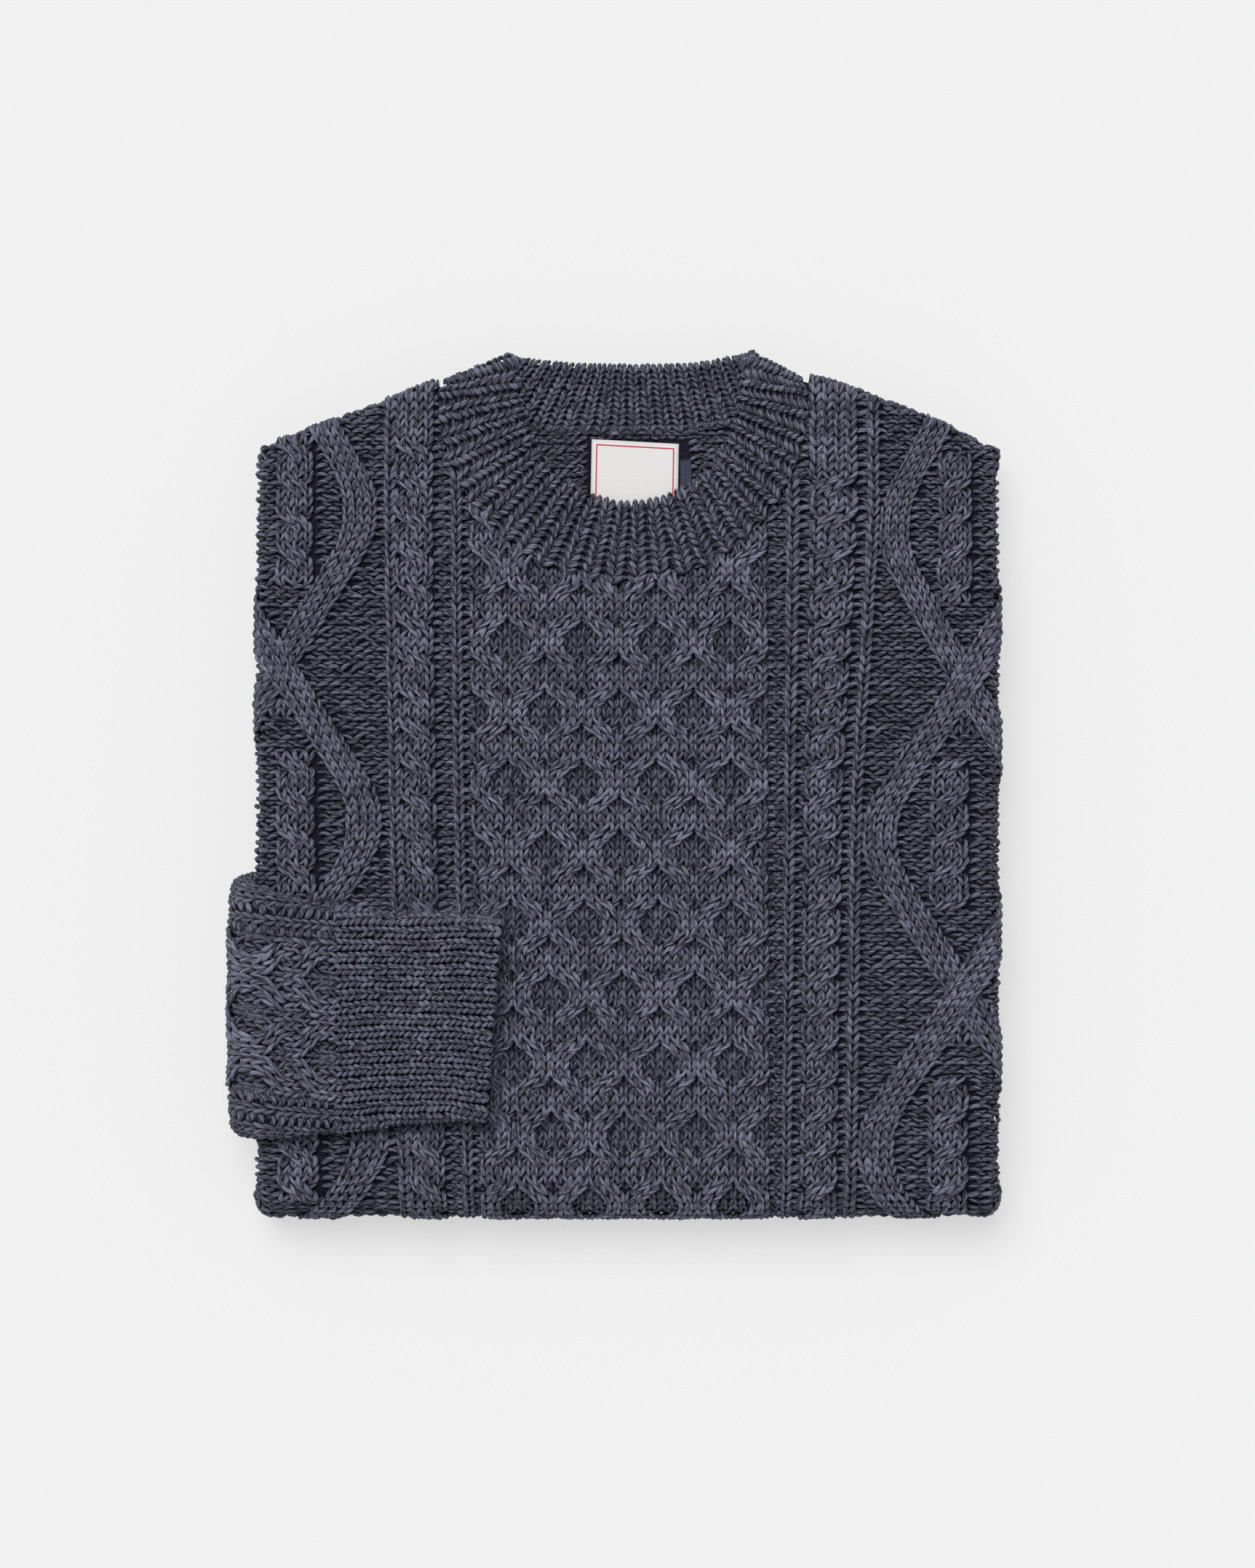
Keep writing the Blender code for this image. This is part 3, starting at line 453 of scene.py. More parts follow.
def closed_tube(name, outer, inner):
    """Close a tube between outer and inner rings of points: rows along it, columns round it."""
    rows, columns, _ = outer.shape
    points = np.concatenate([outer.reshape(-1, 3), inner.reshape(-1, 3)])
    index = np.arange(rows * columns).reshape(rows, columns)
    after = np.roll(index, -1, axis=1)
    under, under_after = index + rows * columns, after + rows * columns
    faces = [grid_faces(index, after), grid_faces(under, under_after)[:, TURNED]]
    faces.append(np.stack([after[0], index[0], under[0], under_after[0]], -1))
    faces.append(np.stack([index[-1], after[-1], under_after[-1], under[-1]], -1))
    return make_piece(name, points, np.concatenate(faces))


# The front's chart: its rows run from under the bottom fold to the neck seam and the shoulders

# Lengths along the fold: where the bottom fold's bend starts below, and where the underside ends
ARC_START = FOLD_RADIUS - math.pi * FOLD_RADIUS
UNDERSIDE_END = ARC_START - (HEM_EDGE - FOLD_RADIUS)
ALL_ROWS = FIRST_CROSSING + ROW * np.arange(-17, 96)
# How far the last row may pass a column's end, and how near the seam's ends count as shoulder
PAST_NECK, PAST_SHOULDER = 1.5, 7.0
NECK_MARGIN = 4.0
# What the sleeve hides: x from, x to, y from and y to
UNDER_SLEEVE = (-172.0, -72.0, 58.0, 138.0)
# Where the sleeve presses the cables flat: left of an x, above a y and below a y
PRESSED = (-60.0, 40.0, 162.0)
LATTICE_ROPES = (-14, -10, -6, -2, 2, 6, 10, 14)
LATTICE_TURNS = (1, 1, -1, -1)
LATTICE_GROUND = -1.7
PURL_PITCH = 1.28
# How far round a side's roll the diamonds go on, in stitches
ROLL_STITCHES_SHOWN = 4.3
# How near a purl stitch may come to a diamond's strand and to the small rope, in stitches
STRAND_CLEARANCE = 1.7
ROPE_CLEARANCE = 1.9
# Where knit stitches fill the diamond below a crossing, in millimetres from it
WEDGE_LOW, WEDGE_HIGH = -27, -2
SIDE_ROPES = {
    # stitch at the middle, way of the crossings, last crossing, knit columns beside it, purl columns
    "side_rope_left": (-22.0, -1, 21, (-17.5, RIB_STITCHES[0]), (-16.5, -18.5, -19.5)),
    "side_rope_right": (22.0, 1, 20, (18.5, RIB_STITCHES[1]), (16.5, 17.5, 19.5, 24.5)),
}
SIDE_STITCHES = {
    # the purl ground of the face, of the roll's lower layer, and the bound edge
    "left": (
        np.arange(-25.6, -42.6, -PURL_PITCH),
        np.arange(-37.8, -42.9, -1.0),
        np.arange(-18.5, -40.6, -1.0),
    ),
    "right": (
        np.arange(26.6, 43.6, PURL_PITCH),
        np.arange(39.3, 44.4, 1.0),
        np.arange(18.5, 41.6, 1.0),
    ),
}


def last_row(stitch):
    """Give how far up the rows of a column go: under the neckband, or over the shoulder's edge."""
    at_neck = np.abs(column_x(stitch, 400.0) - SEAM_CENTRE) < SEAM_ACROSS - NECK_MARGIN
    return panel_top(stitch) + np.where(at_neck, PAST_NECK, PAST_SHOULDER)


def covered_by_sleeve(stitch, rows):
    """Tell which stitches lie wholly under the sleeve and its cuff."""
    x = column_x(stitch, np.maximum(rows, 0.0))
    left, right, low, high = UNDER_SLEEVE
    return (x > left) & (x < right) & (rows > low) & (rows < high)


def rows_in_sight(stitch):
    """List the rows of one column up to its top, but for what the sleeve covers."""
    rows = ALL_ROWS[ALL_ROWS < last_row(stitch)]
    return rows[~covered_by_sleeve(stitch, rows)]


def lay_wale(yarn, path, keep=None, **looks):
    """Lay a knit wale from below the bottom fold to the neck, but for what the sleeve covers."""
    rows = ALL_ROWS if keep is None else ALL_ROWS[keep(ALL_ROWS)]
    place = path(rows[:, None], rows[:, None])[0][:, 0]
    rows = rows[~covered_by_sleeve(place, rows) & (rows < last_row(place))]
    yarn.legs(path, rows, **looks)


def lay_rope(yarn, middle, turns, keep=None):
    """Lay the four wales of a rope that crosses every four rows."""
    for strand in (0, 1):
        for offset in (-0.5, 0.5):
            path = rope_wale(middle, turns, strand, offset)
            lay_wale(yarn, path, keep)


def lay_side_rope(yarn, middle, way, last_crossing):
    """Lay a rope whose last rows below the shoulder are knit straight up."""
    steady = FIRST_CROSSING + (last_crossing + 0.5) * CROSSING_STEP
    lay_rope(yarn, middle, (way,), lambda rows: rows < steady)
    for offset in (-1.5, -0.5, 0.5, 1.5):
        lay_wale(yarn, straight_wale(middle + offset, CABLE_LIFT), lambda rows: rows >= steady)


def lay_lattice(yarn, ropes):
    """Lay ropes of the middle panel, whose neighbours cross opposite ways, and what shows between."""
    def between_crossings(rows):
        """Leave out the rows halfway between crossings, where the ropes touch."""
        return np.round((rows - FIRST_CROSSING) / ROW).astype(int) % 4 != 2

    for middle in ropes:
        filler = straight_wale(middle + 2.0, LATTICE_GROUND)
        lay_wale(yarn, filler, between_crossings, width=1.1, splay=1.1)
    for middle in ropes:
        way = 1 if LATTICE_ROPES.index(middle) % 2 == 0 else -1
        lay_rope(yarn, middle, [way * turn for turn in LATTICE_TURNS])


def lay_purl_column(yarn, stitch):
    """Lay one column of purl bumps."""
    rows = rows_in_sight(stitch)
    yarn.bumps(np.full(len(rows), stitch), rows, 0.35, 1.25)


def lay_lower_roll(yarn, stitches):
    """Lay the purl columns of a side's roll along the lower layer, which the fold turned under."""
    rows = ALL_ROWS[0] - ROW * np.arange(1, round((ALL_ROWS[0] - UNDERSIDE_END) / ROW))
    for stitch in stitches:
        yarn.bumps(np.full(len(rows), stitch), rows, -0.2, 1.15)


def lay_bound_edge(yarn, stitches):
    """Lay the bound edge that closes the columns behind a shoulder."""
    rows = last_row(stitches)
    for past, rise in ((0.6, 0.5), (3.0, 0.1)):
        yarn.bumps(stitches, rows + past, rise, 1.3)


def lay_diamonds(yarn, middle, crossing_y, inner, lean, wales):
    """Lay diamonds, the small rope inside each and the purl ground between them."""
    left_start, right_start = roll_starts(MIDDLE_HEIGHT)
    limit = (left_start - ROLL_STITCHES_SHOWN, right_start + ROLL_STITCHES_SHOWN)

    def in_reach(path):
        """Keep the rows of a wale that lie on the face or the near part of the roll."""
        def keep(rows):
            place = path(rows[:, None], rows[:, None])[0][:, 0]
            return (place > limit[0]) & (place < limit[1])
        return keep

    for strand in (0, 1):
        for offset in (-1.35, -0.45, 0.45, 1.35):
            path = diamond_wale(middle, crossing_y, lean, strand, offset)
            lay_wale(yarn, path, in_reach(path))

    def inside_diamond(rows):
        """Keep the rows of the small rope, which fills the diamond's widest part."""
        beat = (rows - crossing_y) / DIAMOND_REPEAT
        from_crossing = np.abs(beat - np.round(beat)) * DIAMOND_REPEAT
        return from_crossing > DIAMOND_REPEAT / 2 - INNER_ROPE_REACH

    lay_rope(yarn, inner, (lean,), inside_diamond)
    for stitch in wales:
        rows = rows_in_sight(stitch)
        number = np.round((rows - crossing_y) / DIAMOND_REPEAT)
        lead, off = diamond_lead(rows, crossing_y, number)
        beside = stitch - middle
        free = np.minimum(np.abs(beside - lead), np.abs(beside + lead)) > STRAND_CLEARANCE
        free &= ~(inside_diamond(rows) & (abs(stitch - inner) < ROPE_CLEARANCE))
        wedge = (off > WEDGE_LOW) & (off < WEDGE_HIGH) & (np.abs(beside) < np.abs(lead)) & free
        purl_rows = rows[free & ~wedge]
        yarn.bumps(np.full(len(purl_rows), stitch), purl_rows, 0.1, 1.1, pitch=PURL_PITCH)
        yarn.legs(straight_wale(stitch, 0.3), rows[wedge], 1.2, splay=1.25)


def ground_rise(stitch, v):
    """Give the height of the cloth under the yarn: raised below the lattice, ropes and strands."""
    rise = np.where(np.abs(stitch) < 16, 0.4, 0.0)
    for middle, *_ in SIDE_ROPES.values():
        rise = np.maximum(rise, 0.9 * np.clip(2.4 - np.abs(stitch - middle), 0, 1))
    for middle, crossing_y, *_ in DIAMONDS.values():
        lead, _ = diamond_lead(v, crossing_y, np.round((v - crossing_y) / DIAMOND_REPEAT))
        for way in (-1, 1):
            rise = np.maximum(rise, 0.8 * np.clip(2.0 - np.abs(stitch - middle - way * lead), 0, 1))
    return rise - 1.25


def pressed_front_face(across, v, rise):
    """Carry the front's chart onto its form, with the cables pressed flat under the sleeve."""
    x = column_x(across / STITCH, np.maximum(v, 0.0))
    left_of, above, below = PRESSED
    under = smooth((left_of - x) / 4) * smooth((v - above) / 6) * smooth((below - v) / 8)
    return front_face(across, v, rise * (1 - 0.75 * under) - 0.9 * under)


def front_pieces():
    """Make the front's cloth and its yarn, in bands from the left roll to the right one."""
    left_start, right_start = roll_starts(MIDDLE_HEIGHT)
    round_roll = np.array([1.0, 2.0, 3.0, 4.0, 5.0, 6.3, 7.5])
    face_stitches = np.arange(-37.5, 38.6, 0.5)
    stitches = np.concatenate([left_start - round_roll[::-1], face_stitches, right_start + round_roll])
    lower = np.concatenate([
        np.linspace(UNDERSIDE_END, ARC_START, 12)[:-1],
        np.linspace(ARC_START, FOLD_RADIUS, 19)[:-1],
    ])
    share = np.linspace(0, 1, 92)
    tops = panel_top(stitches) - 1.0
    upper = FOLD_RADIUS + share[:, None] * (tops[None, :] - FOLD_RADIUS)
    v = np.concatenate([np.repeat(lower[:, None], len(stitches), 1), upper])
    across = np.repeat((stitches * STITCH)[None, :], len(v), 0)
    outer = pressed_front_face(across, v, ground_rise(across / STITCH, v))
    inner = front_face(across, v, np.full(v.shape, -4.2))
    cloth = closed_shell("front_cloth", outer, inner)

    pieces = []
    for name, ropes in (("lattice_left", LATTICE_ROPES[:4]), ("lattice_right", LATTICE_ROPES[4:])):
        yarn = Yarn()
        lay_lattice(yarn, ropes)
        pieces.append(yarn.mesh(name, pressed_front_face))
    for name, (middle, way, last_crossing, knit, purl) in SIDE_ROPES.items():
        yarn = Yarn()
        lay_side_rope(yarn, middle, way, last_crossing)
        for stitch in knit:
            lay_wale(yarn, straight_wale(stitch, RIB_RISE), width=1.18, splay=1.25)
        for stitch in purl:
            lay_purl_column(yarn, stitch)
        pieces.append(yarn.mesh(name, pressed_front_face))
    for side, (ground, rolled, bound) in SIDE_STITCHES.items():
        yarn = Yarn()
        lay_diamonds(yarn, *DIAMONDS[side], ground)
        lay_lower_roll(yarn, rolled)
        lay_bound_edge(yarn, bound)
        pieces.append(yarn.mesh("diamonds_" + side, pressed_front_face))
    return cloth, pieces


# Neckband: lines across it from the seam to the free edge, with its turn: 0 front, 1 fold, 2 back

# The ribs' pitch, the band's width across them, the radius of its free edge and its row
BAND_RIB = 6.7
FRONT_RIBS = 28
BAND_LENGTH = 38.0
BAND_EDGE = 2.2
BAND_ROW = 3.5
# The band's wall, its height over the front, how much lower it lies at the back and its two folds' inset
BAND_WALL = 4.0
BAND_LEVEL = -0.3
BAND_BACK_DROP = 1.9
BAND_FOLD_INSET = 1.2
BAND_SEAM_GAP = 0.6
# How far the free edge climbs towards the folds
FREE_EDGE_LIFT = 4.0
BAND_FRONT_LINES = 41
# How far the band's cloth lies below its ribs, and how much more near the free edge
BAND_CLOTH = -0.9
BAND_SHARES = np.array([0.0, 0.2, 0.4, 0.6, 0.8, 0.91, 0.965])
BAND_DROPS = np.array([0.0, 0.0, 0.0, 0.0, 0.0, 0.3, 1.2])
BACK_BAND = [
    # seam x, seam y, free edge x, free edge y
    (-75.0, 403.0, -51.5, 425.5),
    (-56.0, 393.0, -38.0, 423.5),
    (-36.0, 390.5, -22.0, 422.3),
    (0.0, 390.5, 0.0, 422.0),
    (30.0, 391.0, 24.0, 422.3),
    (52.0, 394.0, 42.0, 424.0),
    (70.0, 403.0, 54.0, 427.0),
]


def band_table():
    """List the band's lines: length round it, seam x and y, free x and y, turn."""
    rows = [NECK_LEFT + (-59.0, 428.5, 1.0)]
    for angle in np.linspace(math.pi, 2 * math.pi, BAND_FRONT_LINES):
        out_x, out_y = math.cos(angle), math.sin(angle)
        rows.append((
            SEAM_CENTRE + (SEAM_ACROSS - BAND_SEAM_GAP) * out_x,
            NECK_HEIGHT + (SEAM_DOWN - BAND_SEAM_GAP) * out_y,
            FREE_CENTRE + FREE_ACROSS * out_x,
            NECK_HEIGHT + FREE_DOWN * out_y + FREE_EDGE_LIFT * abs(out_x) ** 3,
            0.0,
        ))
    rows.append(NECK_RIGHT + (61.0, NECK_TOP, 1.0))
    rows += [row + (2.0,) for row in reversed(BACK_BAND)]
    rows.append(rows[0][:4] + (3.0,))
    table = np.array(rows)
    middles = (table[:, 0:2] + table[:, 2:4]) / 2
    steps = np.hypot(*np.diff(middles, axis=0).T)
    return np.column_stack([np.concatenate([[0.0], np.cumsum(steps)]), table])


BAND = band_table()
BAND_FRONT_END = BAND[BAND_FRONT_LINES + 1, 0]
BAND_END = BAND[-1, 0]


def band_face(around, share, rise, inside=False):
    """Carry places on the neckband onto its form: length round it, share across it, rise."""
    seam_x, seam_y, free_x, free_y, turn = (np.interp(around, BAND[:, 0], BAND[:, k]) for k in range(1, 6))
    bend = np.where(turn > 2, math.pi * (2 - (turn - 2)) / 2, math.pi * turn / 2)
    level = BAND_LEVEL - (BAND_WALL + BAND_BACK_DROP) * (1 - np.cos(bend)) / 2
    line_x, line_y = free_x - seam_x, free_y - seam_y
    length = np.hypot(line_x, line_y)
    out_x, out_y = -line_y / length, line_x / length
    flip = np.where(out_y < 0, -1.0, 1.0)
    out_x, out_y = out_x * flip, out_y * flip
    way = -1.0 if inside else 1.0
    offset = way * (BAND_WALL / 2 + rise)
    push = np.sin(bend) * (offset - BAND_WALL / 2 - BAND_FOLD_INSET)
    x = seam_x + line_x * share + out_x * push
    y = seam_y + line_y * share + out_y * push
    z = top_height(y) + level + np.cos(bend) * offset
    return np.stack([x, y, z], axis=-1)


def band_pieces():
    """Make the neckband's cloth and the yarn of its ribs."""
    around, share = np.meshgrid(np.linspace(0, BAND_END, 200), BAND_SHARES, indexing="ij")
    faces = [band_face(around, share, BAND_CLOTH - BAND_DROPS[None, :], inside) for inside in (False, True)]
    cloth = closed_shell("neckband_cloth", *faces)
    return cloth, [band_ribs("neckband_ribs_front", False), band_ribs("neckband_ribs_back", True)]


def band_ribs(name, inside):
    """Lay the ribs of one face of the neckband: rows run from the seam to the free edge."""
    start, end = (BAND_FRONT_END - 3.0, BAND_END + 3.0) if inside else (-4.0, BAND_FRONT_END + 4.0)
    count = round((end - start) / BAND_RIB) if inside else FRONT_RIBS
    pitch = (end - start) / count
    rows = np.arange(0.25, 12.0, 1.0) * BAND_ROW
    width = 1.1 * (pitch / 6.1) ** 0.5
    yarn = Yarn()
    for index in range(count):
        place = (start + pitch * (index + 0.5)) / pitch
        yarn.legs(straight_wale(place, 0.8), rows, width, RIB_SPAN * BAND_ROW, splay=0.8, stitch=pitch)
        valley = np.full(len(rows), place + 0.25)
        yarn.bumps(valley, rows, rise=-1.15, width=0.92, stitch=pitch, row=BAND_ROW)

    def face(across, along, rise):
        """Stretch the ribs' chart between the seam and the free edge."""
        held = np.mod(across, BAND_END)
        past = np.maximum(along - (BAND_LENGTH - BAND_EDGE), 0.0)
        bend = np.minimum(past / BAND_EDGE, math.pi / 2)
        reach = along - past + (BAND_EDGE + rise) * np.sin(bend)
        drop = BAND_EDGE * (1 - np.cos(bend)) + np.maximum(past - BAND_EDGE * math.pi / 2, 0.0)
        return band_face(held, reach / BAND_LENGTH, rise * np.cos(bend) - drop, inside)

    return yarn.mesh(name, face)


# Sleeve and cuff: a flattened tube that follows a line round the left roll

SLEEVE_THICKNESS = 12.0
SLEEVE_RADIUS = 9.3 + SLEEVE_THICKNESS / 2
SLEEVE_TURN = math.pi * SLEEVE_RADIUS
CUFF_AT_X, CUFF_END_X = -143.0, -63.0
CUFF_AT = SLEEVE_TURN + CUFF_AT_X + ROLL_CENTRE
CUFF_END = SLEEVE_TURN + CUFF_END_X + ROLL_CENTRE
CUFF_SLANT = 7.0
CUFF_ROW = 3.25
CUFF_RIB = 6.15
SLEEVE_STITCH = 4.9
# Depths of the tube's cloth below its face, and of the yarn's chart
TUBE_OUTER, TUBE_INNER = -1.1, -4.6
SLEEVE_YARN = -0.6
SLEEVE_EDGES = np.array([
    # distance along the line from the start of the turn, lower y, upper y
    (-14.0, 38.0, 172.0),
    (0.0, 39.0, 171.0),
    (24.0, 40.7, 167.8),
    (48.0, 39.5, 161.0),
    (80.7, 43.5, 151.6),
    (113.0, 48.6, 148.0),
    (142.0, 50.0, 148.0),
    (166.0, 49.7, 143.3),
])


def sleeve_face(around, length, rise):
    """Carry places on the flattened tube onto its form: mm round it from its middle, and along it."""
    low = np.interp(length, SLEEVE_EDGES[:, 0], SLEEVE_EDGES[:, 1])
    high = np.interp(length, SLEEVE_EDGES[:, 0], SLEEVE_EDGES[:, 2])
    half = (high - low) / 2
    thick = SLEEVE_THICKNESS / 2
    flat = half - thick
    over = np.abs(around) - flat
    angle = np.clip(over / thick, 0.0, math.pi)
    under = np.maximum(over - thick * math.pi, 0.0)
    side = np.sign(around)
    place = np.where(over > 0, side * (flat + (thick + rise) * np.sin(angle) - under), around)
    height = np.where(over > 0, (thick + rise) * np.cos(angle), thick + rise)
    turn = np.clip(length / SLEEVE_RADIUS, 0.0, math.pi)
    out_x, out_z = -np.sin(turn), -np.cos(turn)
    centre_z = STACK_HEIGHT - ROLL_RADIUS
    before = np.minimum(length, 0.0)
    after = np.maximum(length - SLEEVE_TURN, 0.0)
    x = -ROLL_CENTRE + SLEEVE_RADIUS * out_x - before + after
    z = centre_z + SLEEVE_RADIUS * out_z
    slant = CUFF_SLANT * np.clip((length - CUFF_AT) / (CUFF_END - CUFF_AT), 0.0, 1.0)
    x = x + out_x * height - slant * (0.5 - place / (2 * half))
    return np.stack([x, (low + high) / 2 + place, z + out_z * height], axis=-1)


def sleeve_ring(length, rise):
    """Give one ring of the flattened tube, with points round it."""
    low = np.interp(length, SLEEVE_EDGES[:, 0], SLEEVE_EDGES[:, 1])
    high = np.interp(length, SLEEVE_EDGES[:, 0], SLEEVE_EDGES[:, 2])
    thick = SLEEVE_THICKNESS / 2
    flat = (high - low) / 2 - thick
    bend = np.array([0.17, 0.33, 0.5, 0.67, 0.83, 1.0])
    around = np.concatenate([
        np.linspace(-flat, flat, 28),
        flat + thick * math.pi * bend,
        flat + thick * math.pi + np.linspace(0, 2 * flat, 6)[1:-1],
        -flat - thick * math.pi * bend[::-1],
    ])
    return sleeve_face(around, np.full(around.shape, length), np.full(around.shape, rise))


def sleeve_tube(name, lengths):
    """Make the cloth of a stretch of the flattened tube."""
    outer = np.stack([sleeve_ring(length, TUBE_OUTER) for length in lengths])
    inner = np.stack([sleeve_ring(length, TUBE_INNER) for length in lengths])
    return closed_tube(name, outer, inner)


def sleeve_pieces():
    """Make the sleeve and its cuff: cloth, the cables' yarn and the ribs' yarn."""
    turned = np.linspace(0.0, SLEEVE_TURN, 15)
    level = np.linspace(SLEEVE_TURN + 5, CUFF_AT, 7)
    sleeve_cloth = sleeve_tube("sleeve_cloth", np.concatenate([[-12.0], turned, level]))
    cuff_cloth = sleeve_tube("cuff_cloth", np.linspace(CUFF_AT, CUFF_END, 18))
    yarn = Yarn()
    rows = CUFF_AT - 2.0 - ROW * np.arange(0, 21)
    rows = rows[rows > -6.0]
    looks = {"stitch": SLEEVE_STITCH, "way": -1}
    for index, middle in enumerate((-6, -2, 2, 6)):
        way = 1 if index % 2 == 0 else -1
        turns = [way * turn for turn in LATTICE_TURNS]
        for strand in (0, 1):
            for offset in (-0.5, 0.5):
                yarn.legs(rope_wale(middle, turns, strand, offset), rows, **looks)
    for place in (-9.5, 9.5):
        yarn.legs(straight_wale(place, RIB_RISE), rows, **looks)
    for place in (-8.5, 8.5, -10.5, 10.5):
        yarn.bumps(np.full(len(rows), place), rows, 0.6, 1.3, SLEEVE_STITCH)
    for place in (-8, -4, 0, 4, 8):
        yarn.legs(straight_wale(place, -0.6), rows, 1.15, splay=1.1, **looks)
    for side in (-1, 1):
        for place in np.arange(11.5, 16.0, 1.0):
            yarn.legs(straight_wale(side * place, 0.2), rows, **looks)

    def cables_face(around, length, rise):
        """Sink the cables a little into the tube's face."""
        return sleeve_face(around, length, rise + SLEEVE_YARN)

    sleeve_yarn = yarn.mesh("sleeve_cables", cables_face)

    yarn = Yarn()
    rows = np.arange(CUFF_AT + 1.0, CUFF_END + 1.5, CUFF_ROW)
    for index in range(-10, 11):
        def rib(v, row, index=index):
            """Let the ribs wave a little, as they do at rest."""
            wave = 0.1 * np.sin((v - CUFF_AT) / 13.0 + 0.2 * index) + 0.03 * np.sin(v / 5.0 + index)
            return index + wave, 1.1 + 0.0 * v, 1.0
        yarn.legs(rib, rows, 1.2, RIB_SPAN * CUFF_ROW, splay=0.86, stitch=CUFF_RIB, way=-1)
    cuff_yarn = yarn.mesh("cuff_ribs", sleeve_face)
    return sleeve_cloth, cuff_cloth, sleeve_yarn, cuff_yarn


# Back: shows inside the neckband, purl side out, with the label and the end of its tape

BACK_DEPTH = 5.5
BACK_HALF_WIDTH, BACK_FOLD = 158.0, 30.0
BACK_AT_BAND = 404.0
BACK_STITCH, BACK_ROW = 4.4, 4.2
# The label hides the stitches below it: x from, x to, and the y of its upper edge
LABEL_COVER = (-21.0, 31.0, 386.5)


def back_height(y):
    """Give the height of the back's upper face."""
    return top_height(y) - BACK_DEPTH


def back_pieces():
    """Make the back's cloth, the purl bumps that show and the chain along its seam."""
    x = np.linspace(-BACK_HALF_WIDTH, BACK_HALF_WIDTH, 41)
    seam_x = [row[0] for row in BACK_BAND]
    seam_y = [row[1] - 1.0 for row in BACK_BAND]
    tops = np.interp(x, SHOULDER_OUTLINE[:, 0], SHOULDER_OUTLINE[:, 1]) - 2.0
    tops = np.where((x >= NECK_LEFT[0]) & (x <= NECK_RIGHT[0]), BACK_AT_BAND, tops)
    tops = np.where((x > seam_x[0]) & (x < seam_x[-1]), np.interp(x, seam_x, seam_y), tops)
    share = np.linspace(0, 1, 40)
    y = BACK_FOLD + share[:, None] * (tops[None, :] - BACK_FOLD)
    grid_x = np.repeat(x[None, :], len(share), 0)
    faces = [np.stack([grid_x, y, back_height(y) - depth], axis=-1) for depth in (1.0, 3.6)]
    cloth = closed_shell("back_cloth", *faces)

    def purl_face(across, along, rise):
        """Lay the chart level on the back."""
        across, along = np.broadcast_arrays(across, along)
        return np.stack([across, along, back_height(along) + 0.1 + rise], axis=-1)

    def chain_face(across, along, rise):
        """Turn the chain sideways, along the seam."""
        across, along = np.broadcast_arrays(across, along)
        seam = np.interp(along, seam_x, seam_y) + 1.2
        return np.stack([along, seam + across, back_height(seam) + 0.6 + rise], axis=-1)

    yarn = Yarn()
    rows = np.arange(346.0, 400.0, BACK_ROW)
    for place in np.arange(-14.5, 15.5, 1.0):
        middle = place * BACK_STITCH
        top = np.interp(middle, seam_x, seam_y)
        kept = rows[(rows < top - 1.0) & (rows > neck_seam_y(middle) + 5.0)]
        if LABEL_COVER[0] < middle < LABEL_COVER[1]:
            kept = kept[kept > LABEL_COVER[2]]
        yarn.bumps(np.full(len(kept), place), kept, 0.1, 1.15, BACK_STITCH, BACK_ROW)
    bumps = yarn.mesh("back_purls", purl_face)

    yarn = Yarn()
    links = np.arange(-76.0, 72.0, 3.6)
    yarn.legs(straight_wale(0.0, 0.3), links, width=0.85, span=5.6, splay=0.8, stitch=BACK_STITCH)
    chain = yarn.mesh("neck_seam_chain", chain_face)
    return cloth, [bumps, chain]


# Hidden layers: one rounded piece with two knitted edges on each side, between the rolls

LAYER_SECTIONS = np.array([
    # y, core, left edge, right edge, lowest z, edge underside, edge top and core top below the front
    (6.2, 157.0, 158.0, 158.0, 20.0, 21.5, 21.5, 20.0),
    (9.4, 157.5, 158.5, 158.5, 13.2, 20.5, 20.5, 13.4),
    (15.8, 158.0, 160.0, 160.0, 7.6, 20.5, 20.5, 10.6),
    (17.0, 158.0, 172.0, 172.0, 7.2, 19.0, 19.0, 10.4),
    (19.0, 158.0, 176.0, 176.0, 6.6, 17.0, 17.0, 10.2),
    (24.0, 158.0, 181.0, 181.0, 5.9, 15.6, 15.6, 10.0),
    (33.0, 158.0, 181.5, 180.5, 5.3, 15.4, 15.4, 10.0),
    (35.5, 158.0, 160.0, 180.0, 5.3, 15.4, 15.4, 10.0),
    (100.0, 158.0, 160.0, 181.5, 5.3, 15.4, 15.4, 10.0),
    (174.5, 158.0, 160.0, 180.0, 5.3, 15.4, 15.4, 10.0),
    (177.0, 158.0, 180.5, 180.5, 5.3, 15.4, 15.4, 10.0),
    (230.0, 158.0, 179.0, 181.5, 5.3, 15.4, 15.4, 10.0),
    (290.0, 158.0, 181.5, 180.0, 5.3, 15.4, 15.6, 10.2),
    (310.0, 158.0, 181.0, 180.5, 5.3, 15.4, 15.8, 10.3),
    (330.0, 158.0, 180.5, 181.0, 5.3, 15.4, 15.8, 10.3),
    (346.0, 157.5, 179.0, 180.0, 5.3, 15.4, 15.8, 10.3),
    (360.0, 157.0, 178.0, 178.0, 5.3, 15.4, 15.8, 10.3),
    (369.0, 154.0, 172.0, 172.0, 5.5, 15.4, 15.9, 10.3),
    (378.0, 150.0, 164.0, 164.0, 6.5, 11.0, 16.0, 10.3),
    (396.0, 122.0, 132.0, 130.0, 7.0, 10.5, 15.5, 10.3),
    (410.0, 84.0, 92.0, 90.0, 8.0, 10.5, 14.5, 10.3),
    (419.0, 58.0, 64.0, 64.0, 11.0, 12.5, 15.5, 12.5),
])
LAYER_GROOVE = 3.5
LAYER_STITCH, LAYER_STEP = 4.2, 4.2
LAYER_CLOTH = -0.9
